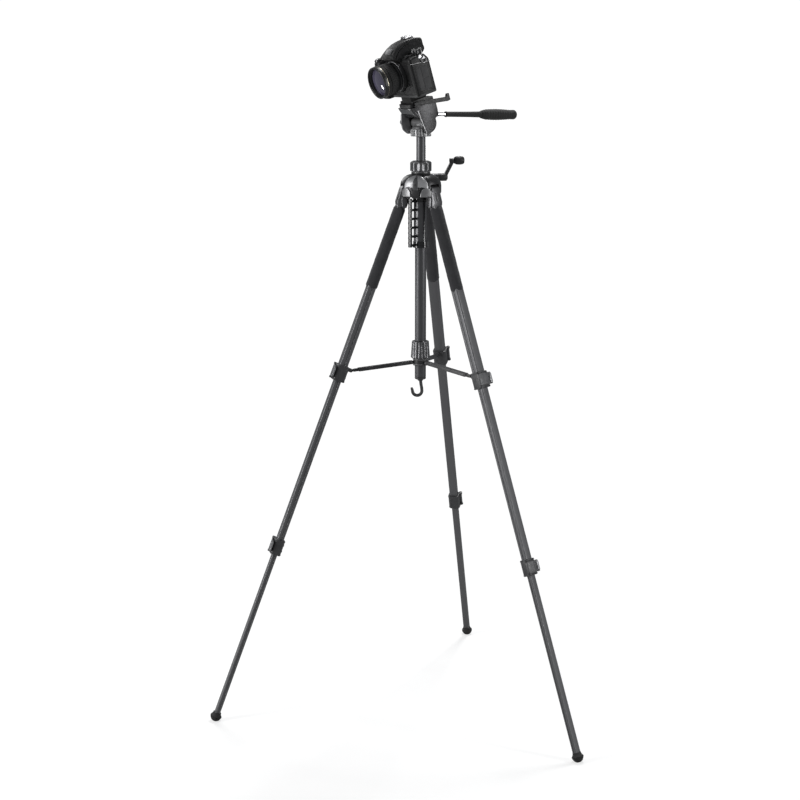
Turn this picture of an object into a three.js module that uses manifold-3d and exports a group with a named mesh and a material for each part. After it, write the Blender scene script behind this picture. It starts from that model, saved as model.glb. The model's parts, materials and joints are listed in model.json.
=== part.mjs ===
// A digital single-lens reflex camera on a folding three-legged tripod.
// Millimetres, +Z up, feet on z = 0, origin below the middle of the bounding box.
import * as THREE from "three";
import { mergeVertices } from "three/addons/utils/BufferGeometryUtils.js";
import Module from "manifold-3d";

const wasm = await Module();
wasm.setup();

// ---------------------------------------------------------------- driving dimensions
const GAP = 0.3; // between pieces that touch
const RUNNING = 0.4; // between pieces that slide or turn on each other

// Tripod
const LEG_AZIMUTHS = [-75, 45, 165]; // from the front (-Y) towards +X, one leg each
const LEG_LEAN = 20.68; // each leg from the vertical
const HINGE_RADIUS = 33.4;
const HINGE_HEIGHT = 1184;
const GRIP = { top: -37, bottom: -225.5, depth: 26.5, width: 28 };
const UPPER = { top: -28, bottom: -437, depth: 19, width: 23, corner: 4.5 };
const MIDDLE = { top: -388, bottom: -851.5, depth: 15, width: 19, corner: 3.9 };
const LOWER = { top: -802, bottom: -1245, depth: 11, width: 15, corner: 3.4 };
const TUBE_WALL = 1.6;
const MID_LOCK = { top: -407, bottom: -443, depth: 27, width: 30, corner: 6 };
const LOW_LOCK = { top: -822, bottom: -857.5, depth: 23, width: 26, corner: 6 };
const LOCK_LIP = 5.7; // the part of a lock housing below the tube that it is fixed to
const KNUCKLE_RADIUS = 14;
const KNUCKLE_WIDTH = 24;
const HINGE_PIN = 3;
const FOOT_RADIUS = 13;
const FOOT_CENTRE_HEIGHT = 12;

// Centre column and what is on it
const SHOULDER = { radius: 45, bottom: 1172, rim: 1195, top: 1219.5 };
const FIXED_TUBE = { radius: 12.5, bore: 10.5, bottom: 770, top: 1240 };
const COLUMN = { radius: 10, bore: 7, bottom: 840, top: 1300.3 };
const COLLAR = { radius: 23.5, bottom: 1225.4, top: 1248.5, lobes: 8 };
const RACK_PITCH = 4.712;
const RACK_TEETH = 72;
const RACK = { face: 9.4, floor: 8, half: 3 }; // distances from the column's axis, half width
const PINION = { teeth: 9, centre: 15.75, root: 5.3, tip: 7.5, tooth: 1.5, half: 2.6 };
const CRANK_AZIMUTH = 105;
const CRANK_HEIGHT = 1211;
const CRANK_REACH = 36; // from the crank's axis up to its knob
const COVER_AZIMUTH = -15;
const HANDLE_AZIMUTH = -38;
const HANDLE_REACH = 37;

// Spreader
const HUB = { bottom: 796, top: 812.3, radius: 16.3 };
const SPREADER_COLLAR = { bottom: 812.7, top: 851, radius: 21.5 };
const ARM_INNER = { radius: 20.8, height: 803 };
const ARM_OUTER = { radius: 158.8, height: 790.4 };
const ARM = { width: 9, height: 8, wall: 1.3, ear: 4, shortfall: 17 };
const TAB = 3; // thickness of the tabs that the arms straddle

// Head
const LENS_AZIMUTH = -58; // the way the lens looks
const TILT_HEIGHT = 1329.5;
const PITCH = 17.5; // the camera looks this far below the horizon
const PAN_RING = { bottom: 1300.7, top: 1317, radius: 22.5, flutes: 22 };
const CHEEK = { inside: 25, outside: 29.5, radius: 21.5 };
const BARREL_RADIUS = 11.5;
const PLATFORM = { bottom: 42.3, top: 50, front: 30, rear: -34, width: 50 };
const LEVER = { x: 16, y: 33, inside: 29.9, outside: 36.5, post: 1.8 };
const PAN_HANDLE = { x: -30, z: 9.8, droop: 18.6, length: 224, grip: 94 };

// Camera, in the tilt frame: x forwards, y to its left, z up
const BODY = { bottom: 65, top: 151, front: 26, rear: -24, left: 62, right: -66 };
const LENS = { height: 114, mount: 34, radius: 34.5, front: 81 };

const DEGREE = Math.PI / 180;

// ---------------------------------------------------------------- materials
const finish = (color, roughness, metalness) =>
  new THREE.MeshStandardMaterial({ color, roughness, metalness });
const MATERIAL = {
  tube: finish(0x6b6b6e, 0.38, 0.9),
  casting: finish(0x8a8a8d, 0.4, 0.8),
  bright: finish(0xb4b4b8, 0.3, 0.85),
  black: finish(0x1d1d1f, 0.45, 0),
  foam: finish(0x38383a, 0.95, 0),
  rubber: finish(0x19191a, 0.85, 0),
  lever: finish(0x77777a, 0.4, 0.5),
  camera: finish(0x141415, 0.6, 0),
  panel: finish(0x2c2c2e, 0.7, 0),
  glass: finish(0x2a2a3c, 0.05, 0),
};

// ---------------------------------------------------------------- solids
function toSolid(geometry) {
  const bare = geometry.index ? geometry.toNonIndexed() : geometry.clone();
  bare.deleteAttribute("normal");
  bare.deleteAttribute("uv");
  const merged = mergeVertices(bare, 1e-4);
  return new wasm.Manifold(
    new wasm.Mesh({
      numProp: 3,
      vertProperties: merged.attributes.position.array,
      triVerts: new Uint32Array(merged.index.array),
    }),
  );
}

function toGeometry(solid) {
  const mesh = solid.getMesh();
  const geometry = new THREE.BufferGeometry();
  geometry.setAttribute("position", new THREE.BufferAttribute(mesh.vertProperties, 3));
  geometry.setIndex(new THREE.BufferAttribute(mesh.triVerts, 1));
  return geometry;
}

function join(...pieces) {
  return toGeometry(pieces.map(toSolid).reduce((sum, piece) => sum.add(piece)));
}

function cut(body, ...tools) {
  return toGeometry(tools.reduce((rest, tool) => rest.subtract(toSolid(tool)), toSolid(body)));
}

function common(first, second) {
  return toGeometry(toSolid(first).intersect(toSolid(second)));
}

function box(low, high) {
  const size = high.map((value, i) => value - low[i]);
  const middle = high.map((value, i) => (value + low[i]) / 2);
  return new THREE.BoxGeometry(...size).translate(...middle);
}

// A round bar from one height to another, along Z unless turned afterwards.
function rod(radius, low, high, sides = 24) {
  const bar = new THREE.CylinderGeometry(radius, radius, high - low, sides);
  return bar.rotateX(Math.PI / 2).translate(0, 0, (low + high) / 2);
}

const rodX = (radius, low, high, sides) => rod(radius, low, high, sides).rotateY(Math.PI / 2);
const rodY = (radius, low, high, sides) => rod(radius, low, high, sides).rotateX(-Math.PI / 2);

// A body of revolution about Z. The profile holds [radius, height] pairs, anticlockwise.
function revolve(profile, sides = 32) {
  const points = profile.map(([radius, height]) => new THREE.Vector2(radius, height));
  return new THREE.LatheGeometry(points, sides).rotateX(Math.PI / 2);
}

// A ring or tube about Z with square edges.
function ring(outer, inner, low, high, sides = 32) {
  const profile = [
    [outer, low],
    [outer, high],
    [inner, high],
    [inner, low],
    [outer, low],
  ];
  return revolve(profile, sides);
}

function roundedRectangle(depth, width, radius, Kind = THREE.Shape) {
  const x = depth / 2 - radius;
  const y = width / 2 - radius;
  const outline = new Kind();
  outline.absarc(x, y, radius, 0, Math.PI / 2);
  outline.absarc(-x, y, radius, Math.PI / 2, Math.PI);
  outline.absarc(-x, -y, radius, Math.PI, 1.5 * Math.PI);
  outline.absarc(x, -y, radius, 1.5 * Math.PI, 2 * Math.PI);
  outline.closePath();
  return outline;
}

function prism(shape, low, high, curveSegments = 2) {
  const options = { depth: high - low, bevelEnabled: false, curveSegments };
  return new THREE.ExtrudeGeometry(shape, options).translate(0, 0, low);
}

// A side-view outline in x and z, given width from y = low to y = high.
function profilePrism(outline, low, high, curveSegments = 6) {
  return prism(outline, -high, -low, curveSegments).rotateX(Math.PI / 2);
}

function polygon(points) {
  return new THREE.Shape(points.map(([x, y]) => new THREE.Vector2(x, y)));
}

// A section is a rounded rectangle: depth across the leg, width along the hinge's axis.
function roundedBar({ depth, width, corner }, low, high) {
  return prism(roundedRectangle(depth, width, corner), low, high);
}

function roundedTube({ depth, width, corner, bottom, top }, wall) {
  const outline = roundedRectangle(depth, width, corner);
  const inside = [depth - 2 * wall, width - 2 * wall, corner - wall / 2];
  outline.holes.push(roundedRectangle(...inside, THREE.Path));
  return prism(outline, bottom, top);
}

function grown({ depth, width, corner }, by) {
  return { depth: depth + 2 * by, width: width + 2 * by, corner: corner + by };
}

// A wavy knob outline: the radius swings between its two limits once for each lobe.
function wavyOutline(outer, depth, lobes, steps = 6) {
  const points = [];
  for (let i = 0; i < lobes * steps; i++) {
    const angle = (2 * Math.PI * i) / (lobes * steps);
    const dip = (depth / 2) * (1 - Math.cos(lobes * angle));
    points.push([(outer - dip) * Math.cos(angle), (outer - dip) * Math.sin(angle)]);
  }
  return polygon(points);
}

// ---------------------------------------------------------------- scene graph
function part(parent, name, geometry, material) {
  const mesh = new THREE.Mesh(geometry, material);
  mesh.name = name;
  parent.add(mesh);
  return mesh;
}

function frameAt(parent, name, x = 0, y = 0, z = 0) {
  const frame = new THREE.Group();
  frame.name = name;
  frame.position.set(x, y, z);
  parent.add(frame);
  return frame;
}

// The turn about Z that carries +X to an azimuth measured from -Y towards +X.
const facing = (azimuth) => (azimuth - 90) * DEGREE;

// ---------------------------------------------------------------- legs
function upperSection() {
  const knuckle = rodY(KNUCKLE_RADIUS, -KNUCKLE_WIDTH / 2, KNUCKLE_WIDTH / 2, 20);
  const neck = box([-9, -KNUCKLE_WIDTH / 2, GRIP.top + 6], [12.5, KNUCKLE_WIDTH / 2, 0]);
  const pin = rodY(HINGE_PIN, -KNUCKLE_WIDTH / 2 - 3.4, KNUCKLE_WIDTH / 2 + 3.4, 16);
  const tube = roundedTube(UPPER, TUBE_WALL);
  return join(knuckle, neck, pin, tube);
}

function gripSleeve() {
  const hole = grown(UPPER, GAP);
  const sleeve = new THREE.Shape();
  for (let quarter = 0; quarter < 4; quarter++) {
    const start = (quarter * Math.PI) / 2;
    sleeve.absellipse(0, 0, GRIP.depth / 2, GRIP.width / 2, start, start + Math.PI / 2);
  }
  sleeve.holes.push(roundedRectangle(hole.depth, hole.width, hole.corner, THREE.Path));
  return prism(sleeve, GRIP.bottom, GRIP.top, 3);
}

// The ears and barrel of a lever stand at one corner of the lock's outer face.
const leverPivot = (lock) => [lock.depth / 2 - 1, -lock.width / 2 - 1];

function lockHousing(lock, outerTube, innerTube) {
  const lip = lock.bottom + LOCK_LIP;
  const [x, y] = leverPivot(lock);
  const ear = rod(4.2, lock.bottom, lock.top, 16).translate(x, y, 0);
  const shell = join(roundedBar(lock, lock.bottom, lock.top), ear);
  const room = box([x - 4.8, y - 5, lock.bottom + 4.5], [x + 6, y + 4.6, lock.top - 4.5]);
  const socket = roundedBar(grown(outerTube, GAP), lip, lock.top + 1);
  const passage = roundedBar(grown(innerTube, RUNNING), lock.bottom - 1, lip + 1);
  return cut(shell, room, socket, passage);
}

// The tab on the inner side of the middle lock, which the spreader arm straddles.
function spreaderTab(pivot) {
  const eye = rodY(4.3, -TAB / 2, TAB / 2, 16).translate(pivot.x, 0, pivot.z);
  const face = -MID_LOCK.depth / 2 + 1;
  const web = box([pivot.x, -TAB / 2, pivot.z - 4.3], [face, TAB / 2, pivot.z + 4.3]);
  return join(eye, web);
}

function lockLever(lock) {
  const low = lock.bottom + 4.9;
  const high = lock.top - 4.9;
  const face = lock.depth / 2;
  const [x, y] = leverPivot(lock);
  const barrel = rod(3.4, low, high, 16).translate(x, y, 0);
  const plate = box([face + 0.8, y, low], [face + 4, lock.width / 2 - 2, high]);
  const lip = box([face + 2.4, lock.width / 2 - 6, low], [face + 6, lock.width / 2 + 1, high]);
  return join(barrel, plate, lip);
}

// A foot is a ribbed ball with a socket for the lower tube and a flat where it meets the floor.
function foot() {
  const [x, z] = inLegFrame(FOOT_CENTRE_HEIGHT);
  const profile = [[0, -FOOT_RADIUS]];
  const ribs = 3;
  for (let i = 1; i < 2 * ribs; i++) {
    const angle = (i / (2 * ribs) - 0.5) * Math.PI * 0.86;
    const radius = FOOT_RADIUS - (i % 2 ? 0 : 0.9);
    profile.push([radius * Math.cos(angle), radius * Math.sin(angle)]);
  }
  profile.push([10.6, FOOT_RADIUS - 2], [9.4, LOWER.bottom - z + 9], [0, LOWER.bottom - z + 9]);
  const ball = revolve(profile, 14).translate(x, 0, z);
  const top = LOWER.bottom + 10;
  const socket = roundedBar(grown(LOWER, GAP), LOWER.bottom - GAP, top);
  const [floorX, floorZ] = inLegFrame(0);
  const ground = box([-60, -60, -60], [60, 60, 0]);
  ground.rotateY(LEG_LEAN * DEGREE).translate(floorX, 0, floorZ);
  return cut(ball, socket, ground);
}

// The point of a leg's axis at a height above the floor, in the leg's own frame: [0, z].
function inLegFrame(height) {
  return [0, (height - HINGE_HEIGHT) / Math.cos(LEG_LEAN * DEGREE)];
}

// A point of the leg's upright plane, given by radius and height, in the leg's own frame.
function planeInLegFrame({ radius, height }) {
  const lean = LEG_LEAN * DEGREE;
  const out = radius - HINGE_RADIUS;
  const up = height - HINGE_HEIGHT;
  const x = out * Math.cos(lean) + up * Math.sin(lean);
  const z = up * Math.cos(lean) - out * Math.sin(lean);
  return { x, z };
}

function addLeg(tripod, azimuth, number) {
  const name = `leg_${number}`;
  const sector = frameAt(tripod, `${name}_sector`);
  sector.rotation.z = facing(azimuth);
  const fold = frameAt(sector, `${name}_fold`, HINGE_RADIUS, 0, HINGE_HEIGHT);
  fold.rotation.y = -LEG_LEAN * DEGREE;
  const tab = spreaderTab(planeInLegFrame(ARM_OUTER));
  const lock = join(lockHousing(MID_LOCK, UPPER, MIDDLE), tab);
  part(fold, `${name}_upper_section`, upperSection(), MATERIAL.tube);
  part(fold, `${name}_foam_grip`, gripSleeve(), MATERIAL.foam);
  part(fold, `${name}_middle_lock`, lock, MATERIAL.black);
  part(fold, `${name}_middle_lever`, lockLever(MID_LOCK), MATERIAL.lever);
  frameAt(fold, `${name}_middle_lever_pivot`, ...leverPivot(MID_LOCK), MID_LOCK.bottom);
  part(fold, `${name}_middle_tube`, roundedTube(MIDDLE, TUBE_WALL), MATERIAL.tube);
  part(fold, `${name}_lower_lock`, lockHousing(LOW_LOCK, MIDDLE, LOWER), MATERIAL.black);
  part(fold, `${name}_lower_lever`, lockLever(LOW_LOCK), MATERIAL.lever);
  frameAt(fold, `${name}_lower_lever_pivot`, ...leverPivot(LOW_LOCK), LOW_LOCK.bottom);
  part(fold, `${name}_lower_tube`, roundedTube(LOWER, TUBE_WALL), MATERIAL.tube);
  part(fold, `${name}_foot`, foot(), MATERIAL.rubber);
}

// ---------------------------------------------------------------- shoulder and column
function shoulderProfile(grow) {
  const outer = SHOULDER.radius + grow;
  const dome = [];
  const steps = 5;
  for (let i = 0; i <= steps; i++) {
    const angle = (i / steps) * 0.86 * (Math.PI / 2);
    const radius = 19 + (outer - 19) * Math.cos(angle);
    dome.push([radius, SHOULDER.rim + (SHOULDER.top - SHOULDER.rim + grow) * Math.sin(angle)]);
  }
  return dome;
}

// The crank's axis: level, towards its azimuth, beside the column by the pinion's distance.
function onCrankAxis(geometry) {
  const turned = geometry.rotateY(Math.PI / 2).translate(0, PINION.centre, CRANK_HEIGHT);
  return turned.rotateZ(facing(CRANK_AZIMUTH));
}

function shoulder() {
  const boreRadius = FIXED_TUBE.radius + GAP;
  const neck = SHOULDER.top + 5.2;
  const profile = [
    [boreRadius, SHOULDER.bottom],
    [SHOULDER.radius - 6, SHOULDER.bottom],
    [SHOULDER.radius, SHOULDER.bottom + 8],
    ...shoulderProfile(0),
    [19, SHOULDER.top],
    [18.5, neck],
    [boreRadius, neck],
    [boreRadius, SHOULDER.bottom],
  ];
  const boss = onCrankAxis(rod(8, 18, 44));
  const body = cut(join(revolve(profile, 28), boss), rod(boreRadius, 1150, 1240, 28));
  const shaftHole = onCrankAxis(rod(3.4, -2, 50, 16));
  const pinionRoom = onCrankAxis(rod(PINION.tip + 0.5, -5, 5, 24));
  const slots = LEG_AZIMUTHS.flatMap((azimuth) => {
    const half = KNUCKLE_WIDTH / 2 + 0.6;
    const slot = box([18.6, -half, 1150], [70, half, HINGE_HEIGHT + KNUCKLE_RADIUS + 1]);
    const pinHole = rodY(HINGE_PIN + GAP, -half - 3.6, half + 3.6, 16);
    pinHole.translate(HINGE_RADIUS, 0, HINGE_HEIGHT);
    return [slot.rotateZ(facing(azimuth)), pinHole.rotateZ(facing(azimuth))];
  });
  return cut(body, shaftHole, pinionRoom, ...slots);
}

// A domed cover that hugs the front of the shoulder between two legs.
function frontCover() {
  const inner = shoulderProfile(GAP);
  const outer = shoulderProfile(2.6);
  const low = SHOULDER.rim - 5;
  const profile = [
    [inner[0][0], low],
    [outer[0][0], low],
    ...outer,
    ...inner.slice().reverse(),
    [inner[0][0], low],
  ];
  const window = box([0, -26, low - 1], [60, 26, SHOULDER.top + 4]);
  return common(revolve(profile, 28), window).rotateZ(facing(COVER_AZIMUTH));
}

function fixedTube() {
  const { radius, bore, bottom, top } = FIXED_TUBE;
  const pinionWindow = box([-6.5, 0, CRANK_HEIGHT - 9], [6.5, 20, CRANK_HEIGHT + 9]);
  return cut(ring(radius, bore, bottom, top), pinionWindow.rotateZ(facing(CRANK_AZIMUTH)));
}

function columnCollar() {
  const lobed = prism(wavyOutline(COLLAR.radius, 2.4, COLLAR.lobes), COLLAR.bottom, COLLAR.top);
  const ledge = FIXED_TUBE.top + 0.8;
  const seat = rod(FIXED_TUBE.radius + RUNNING, COLLAR.bottom - 1, ledge, 32);
  const bore = rod(COLUMN.radius + RUNNING, ledge - 1, COLLAR.top + 1, 32);
  return cut(lobed, seat, bore);
}

function centreColumn() {
  const { radius, bore, bottom, top } = COLUMN;
  const tube = ring(radius, bore, bottom, top);
  const lowest = CRANK_HEIGHT - (RACK_TEETH - 15) * RACK_PITCH;
  const grooves = [];
  for (let i = 0; i < RACK_TEETH; i++) {
    const z = lowest + i * RACK_PITCH;
    grooves.push(box([-RACK.half, RACK.floor, z - 1.5], [RACK.half, 20, z + 1.5]));
  }
  const flat = box([-9, RACK.face, lowest - 6], [9, 20, lowest + RACK_TEETH * RACK_PITCH + 1]);
  return cut(tube, flat, ...grooves).rotateZ(facing(CRANK_AZIMUTH));
}

// Shaft, pinion, hub and slanted arm of the crank that winds the column up.
function crank() {
  const shaft = rod(3, -PINION.half, 50, 12);
  const core = rod(PINION.root, -PINION.half, PINION.half, 18);
  const teeth = [];
  for (let i = 0; i < PINION.teeth; i++) {
    const half = PINION.tooth / 2;
    const tooth = box([PINION.root - 1, -half, -PINION.half], [PINION.tip, half, PINION.half]);
    teeth.push(tooth.rotateZ(Math.PI / 2 + (2 * Math.PI * i) / PINION.teeth));
  }
  // Along the shaft, x is down and y is away from the column until the whole is turned.
  const hub = rod(8.5, 44.5, 62, 24);
  const slant = Math.atan2(19, CRANK_REACH);
  const armLength = Math.hypot(19, CRANK_REACH);
  const arm = box([1.5 - armLength, -4, -3.5], [0, 4, 3.5]).rotateY(slant).translate(0, 0, 58);
  const eye = rod(5, 70, 79, 20).translate(-CRANK_REACH, 0, 0);
  const knobPin = rod(2.2, 78, 101, 12).translate(-CRANK_REACH, 0, 0);
  return onCrankAxis(join(shaft, core, ...teeth.map((t) => t.rotateZ(Math.PI)), hub, arm, eye, knobPin));
}

function crankKnob() {
  const profile = [
    [2.2 + RUNNING, 80],
    [6.5, 80],
    [8.6, 84],
    [9.6, 92],
    [8.6, 100],
    [6, 102.5],
    [2.2 + RUNNING, 102.5],
    [2.2 + RUNNING, 80],
  ];
  return onCrankAxis(revolve(profile, 20).translate(-CRANK_REACH, 0, 0));
}

// A carrying grip: a half shell on the tube, an upright rail, and webs that leave five windows.
function carryHandle() {
  const inner = FIXED_TUBE.radius + GAP;
  const low = 1060;
  const high = 1168;
  const clamp = ring(inner + 4, inner, low, low + 13, 24);
  const topClamp = ring(inner + 3.4, inner, high - 9, high, 24);
  const shell = common(ring(inner + 2.6, inner, low, high, 24), box([4, -20, low], [20, 20, high]));
  const rail = roundedBar({ depth: 6, width: 9, corner: 2.5 }, low + 2, high).translate(HANDLE_REACH, 0, 0);
  const webs = [];
  const pitch = (high - low - 12) / 5;
  for (let i = 0; i <= 5; i++) {
    const z = low + 6 + i * pitch;
    webs.push(box([inner + 1.5, -2.6, z - 2.5], [HANDLE_REACH, 2.6, z + 2.5]));
  }
  return join(clamp, topClamp, shell, rail, ...webs).rotateZ(facing(HANDLE_AZIMUTH));
}

// ---------------------------------------------------------------- spreader
function spreaderHub() {
  const inner = FIXED_TUBE.radius + RUNNING;
  const tabs = LEG_AZIMUTHS.map((azimuth) => {
    const { radius, height } = ARM_INNER;
    const eye = rodY(ARM.ear - 0.4, -TAB / 2, TAB / 2, 16).translate(radius, 0, height);
    const web = box([HUB.radius - 2, -TAB / 2, height - 3.6], [radius, TAB / 2, height + 3.6]);
    return join(eye, web).rotateZ(facing(azimuth));
  });
  return join(ring(HUB.radius, inner, HUB.bottom, HUB.top), ...tabs);
}

function spreaderCollar() {
  const { radius, bottom, top } = SPREADER_COLLAR;
  const fluted = prism(wavyOutline(radius, 1.6, 12, 4), bottom, top);
  const taper = revolve([[0, bottom], [radius, bottom], [radius - 2.4, top], [0, top]], 24);
  return cut(common(fluted, taper), rod(FIXED_TUBE.radius + RUNNING, bottom - 1, top + 1, 32));
}

// A channel, open below, from the hub's tab towards the leg's tab. Its outer end stops short
// of the leg's pivot, because that pivot is the one at which the closed linkage is open.
function spreaderArm() {
  const reach = ARM_OUTER.radius - ARM_INNER.radius;
  const drop = ARM_INNER.height - ARM_OUTER.height;
  const length = Math.hypot(reach, drop);
  const half = ARM.width / 2;
  const up = ARM.height / 2;
  const end = length - ARM.shortfall;
  const bar = box([0, -half, -up], [end, half, up]);
  const eye = rodY(ARM.ear, -half, half, 16);
  const channel = box([-10, ARM.wall - half, -10], [length, half - ARM.wall, up - ARM.wall]);
  const innerRoom = box([-10, ARM.wall - half, -10], [9, half - ARM.wall, 10]);
  const outerRoom = box([end - 14, ARM.wall - half, -10], [length, half - ARM.wall, 10]);
  const arm = cut(join(bar, eye), channel, innerRoom, outerRoom);
  return arm.rotateY(Math.atan2(drop, reach));
}

// The weight hook hangs from a plug in the lower end of the fixed tube.
function weightHook() {
  const route = new THREE.CurvePath();
  const point = (x, z) => new THREE.Vector3(x, 0, z);
  const points = [point(0, 767), point(1, 756), point(3.4, 743)];
  for (let i = 0; i <= 8; i++) {
    const angle = -Math.PI * (i / 8);
    points.push(point(-7 + 10.5 * Math.cos(angle), 737 + 10.5 * Math.sin(angle)));
  }
  points.push(point(-20, 745));
  route.add(new THREE.CatmullRomCurve3(points));
  const section = new THREE.Shape();
  section.absarc(0, 0, 3.6, 0, 2 * Math.PI);
  const options = { steps: 15, bevelEnabled: false, curveSegments: 3, extrudePath: route.curves[0] };
  const bar = new THREE.ExtrudeGeometry(section, options);
  const plug = rod(FIXED_TUBE.radius, 764.5, FIXED_TUBE.bottom - GAP);
  const spigot = rod(FIXED_TUBE.bore - RUNNING, 768, 782);
  return join(bar, plug, spigot);
}

// ---------------------------------------------------------------- head
function panRing() {
  const { radius, bottom, top, flutes } = PAN_RING;
  return prism(wavyOutline(radius, 1.6, flutes, 2), bottom, top);
}

function headBody() {
  const low = PAN_RING.top + GAP;
  const neck = revolve(
    [[0, low], [20, low], [19, low + 3], [14, TILT_HEIGHT - 4], [0, TILT_HEIGHT - 4]],
    32,
  );
  const barrel = rodY(BARREL_RADIUS, -CHEEK.inside + 0.5, CHEEK.inside - 0.5, 32);
  const trunnion = rodY(5, -CHEEK.inside - 3, CHEEK.inside + 3, 20);
  return join(neck, barrel.translate(0, 0, TILT_HEIGHT), trunnion.translate(0, 0, TILT_HEIGHT));
}

// Two cheeks, a top plate, a curved front apron and a rear bridge with the handle's boss.
function tiltFrame() {
  const cheek = new THREE.Shape();
  cheek.moveTo(12.5, PLATFORM.bottom - GAP);
  cheek.lineTo(-32, PLATFORM.bottom - GAP);
  cheek.lineTo(-32, 20);
  cheek.absarc(0, 0, CHEEK.radius, 170 * DEGREE, 308 * DEGREE);
  cheek.closePath();
  const cheeks = [1, -1].map((side) => {
    const faces = [side * CHEEK.inside, side * CHEEK.outside].sort((a, b) => a - b);
    return profilePrism(cheek, ...faces, 14);
  });
  const topPlate = box([-32, -CHEEK.outside, 33], [24, CHEEK.outside, PLATFORM.bottom - GAP]);
  const apronOutline = polygon([[30, 42], [24, 42], [20, 30], [13, 19.5], [16, 17.5], [25, 29]]);
  const apron = profilePrism(apronOutline, -CHEEK.outside + 1, CHEEK.outside - 1);
  const bridge = box([-32, -CHEEK.outside + 1, 6], [-24, CHEEK.outside - 1, 36]);
  const boss = rodX(8.5, -40, -28, 24);
  const bore = rodX(4.4, -60, -20, 20);
  const turn = -PAN_HANDLE.droop * DEGREE;
  boss.translate(-PAN_HANDLE.x, 0, 0).rotateY(turn).translate(PAN_HANDLE.x, 0, PAN_HANDLE.z);
  bore.translate(-PAN_HANDLE.x, 0, 0).rotateY(turn).translate(PAN_HANDLE.x, 0, PAN_HANDLE.z);
  const pivotHole = rodY(5 + RUNNING, -CHEEK.inside - 3.6, CHEEK.inside + 3.6, 20);
  const barrelRoom = rodY(BARREL_RADIUS + 1, -CHEEK.inside, CHEEK.inside, 32);
  const body = join(...cheeks, topPlate, apron, bridge, boss);
  return cut(body, bore, pivotHole, barrelRoom);
}

function platform() {
  const { bottom, top, front, rear, width } = PLATFORM;
  const outline = roundedRectangle(front - rear, width, 8);
  const plate = prism(outline, bottom, top).translate((front + rear) / 2, 0, 0);
  const rails = [1, -1].map((side) => {
    const edges = [side * 21.6, side * 25].sort((a, b) => a - b);
    return box([-20, edges[0], top - 1], [22, edges[1], top + 5]);
  });
  const shelf = box([11, width / 2 - 4, bottom], [21, LEVER.outside, bottom + 3]);
  const post = rod(LEVER.post, bottom + 1, bottom + 9, 14).translate(LEVER.x, LEVER.y, 0);
  return join(plate, ...rails, shelf, post);
}

// A long thumb lever beside the platform, which frees the quick-release plate.
function releaseLever() {
  const outline = polygon([
    [21, 45.6], [21, 52.5], [11, 52.5], [-30, 45], [-57, 40.5], [-60, 46.5], [-65, 46.5],
    [-65, 32], [-58, 31], [-30, 36], [8, 43.6], [10.5, 45.6],
  ]);
  const hole = rod(LEVER.post + RUNNING, 40, 60, 14).translate(LEVER.x, LEVER.y, 0);
  return cut(profilePrism(outline, LEVER.inside, LEVER.outside), hole);
}

// Rod and grip share one frame, with x along the handle away from the head.
function handleRod() {
  return rodX(4, 0, PAN_HANDLE.length - PAN_HANDLE.grip * 0.5, 20);
}

function handleGrip() {
  const end = PAN_HANDLE.length;
  const gripStart = end - PAN_HANDLE.grip;
  const sleeveStart = 36;
  const profile = [
    [4 + GAP, sleeveStart],
    [6.2, sleeveStart],
    [6.6, sleeveStart + 30],
    [7.2, gripStart],
    [11, gripStart + 9],
    [12.4, end - 30],
    [12, end - 8],
    [9.5, end - 1],
    [0, end],
    [0, end - PAN_HANDLE.grip * 0.5 + GAP],
    [4 + GAP, end - PAN_HANDLE.grip * 0.5 + GAP],
    [4 + GAP, sleeveStart],
  ];
  return revolve(profile, 20).rotateY(Math.PI / 2);
}

function quickReleasePlate() {
  const outline = polygon([[-20.5, 0], [20.5, 0], [18.5, 6], [18.5, 14.3], [-18.5, 14.3], [-18.5, 6]]);
  const plate = prism(outline, -19, 21).rotateX(Math.PI / 2).rotateZ(Math.PI / 2);
  return plate.translate(0, 0, PLATFORM.top + GAP);
}

// ---------------------------------------------------------------- camera
function bodyOutline() {
  const { front, rear, left, right } = BODY;
  const outline = new THREE.Shape();
  outline.moveTo(rear, right + 10);
  outline.quadraticCurveTo(rear, right, rear + 10, right);
  outline.lineTo(front + 8, right);
  outline.quadraticCurveTo(front + 20, right, front + 20, right + 12);
  outline.quadraticCurveTo(front + 20, right + 27, front + 4, right + 29);
  outline.lineTo(front, right + 34);
  outline.lineTo(front, left - 14);
  outline.quadraticCurveTo(front - 2, left, front - 16, left);
  outline.lineTo(rear + 8, left);
  outline.quadraticCurveTo(rear, left, rear, left - 8);
  outline.closePath();
  return outline;
}

function humpSide() {
  return polygon([
    [-22, 145], [-38, 152], [-40, 160], [-36, 172], [-31, 181.5], [-8, 182], [14, 178.5],
    [34, 166.5], [44, 155], [42, 149.3], [33.5, 149.3], [20, 138],
  ]);
}

function humpFront() {
  return polygon([[-34, 138], [34, 138], [27, 158], [20, 174], [15, 183], [-15, 183], [-20, 174], [-27, 158]]);
}

// A front-view outline in y and z, given depth from x = low to x = high.
function frontPrism(outline, low, high) {
  return prism(outline, low, high).rotateX(Math.PI / 2).rotateZ(Math.PI / 2);
}

const FLASH_LINE = [[-6, 190], [-6, 173.5], [10, 170.5], [28, 161.5], [36, 153.5], [60, 153.5], [60, 190]];

function hump() {
  return common(profilePrism(humpSide(), -40, 40), frontPrism(humpFront(), -60, 70));
}

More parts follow.
